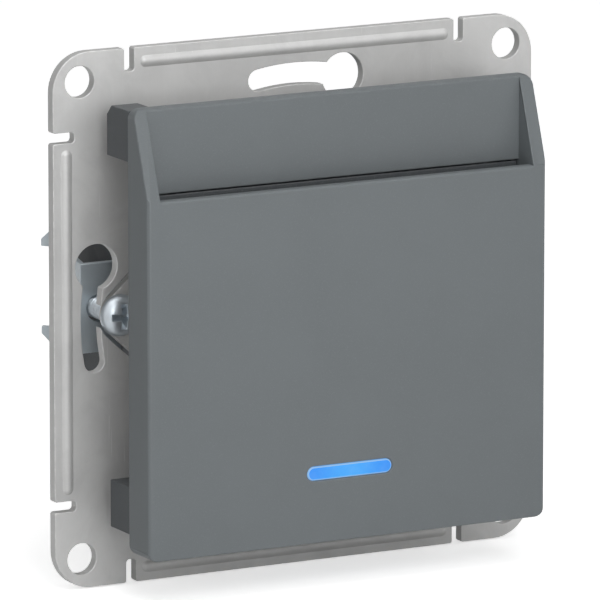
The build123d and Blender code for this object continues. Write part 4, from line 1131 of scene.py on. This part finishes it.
inner_x, outer_x, strip_x = 7.0, 9.6, 3.7
board_y, riser_y, strip_y = -6.8, -1.9, 11.5
board_z, common_z, neutral_z = -16.9, -13.6, 14.0
lead_paths = [
    [(inner_x, board_y, board_z), (inner_x, strip_y, board_z), (inner_x, strip_y, common_z),
     (strip_x, strip_y, common_z)],
    [(outer_x, board_y, board_z), (outer_x, riser_y, board_z), (outer_x, riser_y, neutral_z),
     (outer_x, strip_y, neutral_z), (strip_x, strip_y, neutral_z)],
]
insulation_radius, bare_radius, solder_radius = 0.55, 0.30, 0.52
bend_radius, bare_at_board, bare_at_strip = 1.3, 1.3, 0.9
lead_solids = []
for corners in lead_paths:
    path = rounded_path(corners, bend_radius)
    covered = trimmed(path, bare_at_board, bare_at_strip)
    lead_solids.append(ring_solid(tube(covered, insulation_radius, 20)))
    to_end = np.linspace(1, 0, len(path))
    swell = (solder_radius - bare_radius) * np.clip(1 - to_end * 60, 0, 1)
    lead_solids.append(ring_solid(tube(path, bare_radius + swell)))
build("leads_insulated", lead_solids, [finishes["lead_insulation"][0], finishes["silver"][0]], "lamp_leads",
      slots=[0, 1, 0, 1])

# %% [markdown]
# ## Contacts
# The contacts are rivets with domed silver heads, so that they touch in one
# spot. They sit on the blade, which is tipped about the pin, and the fixed ones
# lie along the blade at its two limits.

# %% Contacts
pin_y = 9.0
contact_arm = 7.0
finger_arm = 10.0
tilt = math.asin(card_stroke / 2 / finger_arm)


def tipped(rings, angle):
    """Turns rings on the blade about the pin, which lies along X at pin_y."""
    along, above = rings[..., 1] + contact_arm, rings[..., 2]
    y = along * math.cos(angle) - above * math.sin(angle)
    z = along * math.sin(angle) + above * math.cos(angle)
    return np.stack([rings[..., 0], y + pin_y, z], -1)


def domed(height, rise):
    """(radius, height) pairs of a contact's face, which falls off with the square of the radius."""
    return [(1.15 * share, height + rise * share ** 2) for share in np.linspace(0.06, 1, 12)]


head = domed(-0.90, 0.16) + [(1.2, -0.66), (1.2, -0.32), (1.12, -0.25), (0.62, -0.25)]
rivet = turned(head + mirrored(head, 0))
build("contact_rivet", [ring_solid(tipped(rivet, -tilt))], finishes["silver"][:1], "moving_contact")

pad = turned(domed(1.02, 0.14) + [(1.2, 1.24), (1.2, 1.60), (1.12, 1.67), (0.3, 1.67)])
lower = tipped(pad * np.array([1, 1, -1]), -tilt)
upper = tipped(pad, tilt)
build("contact_pads", [ring_solid(lower), ring_solid(upper)], finishes["silver"][:1], "fixed_contacts")

# %% [markdown]
# ## Pin
# The rocker's pin is turned from rod. Both ends are stepped down and rounded, so
# that it slides into the bracket's ears.

# %% Pin
low, high = box_mm("rocker_pin")
length = high[0] - low[0]
pin_end = [(0.10, 0.0), (0.62, 0.0), (0.78, 0.06), (0.80, 0.30), (0.98, 0.42), (1.0, 0.50)]
pin = turned(pin_end + [(1.0, length / 2)] + mirrored(pin_end, length))
pin = facing_right(pin, low[0], pin_y, 0)
build("pivot_pin_turned", [ring_solid(pin)], finishes["zinc_screw"][:1], "rocker_pin")
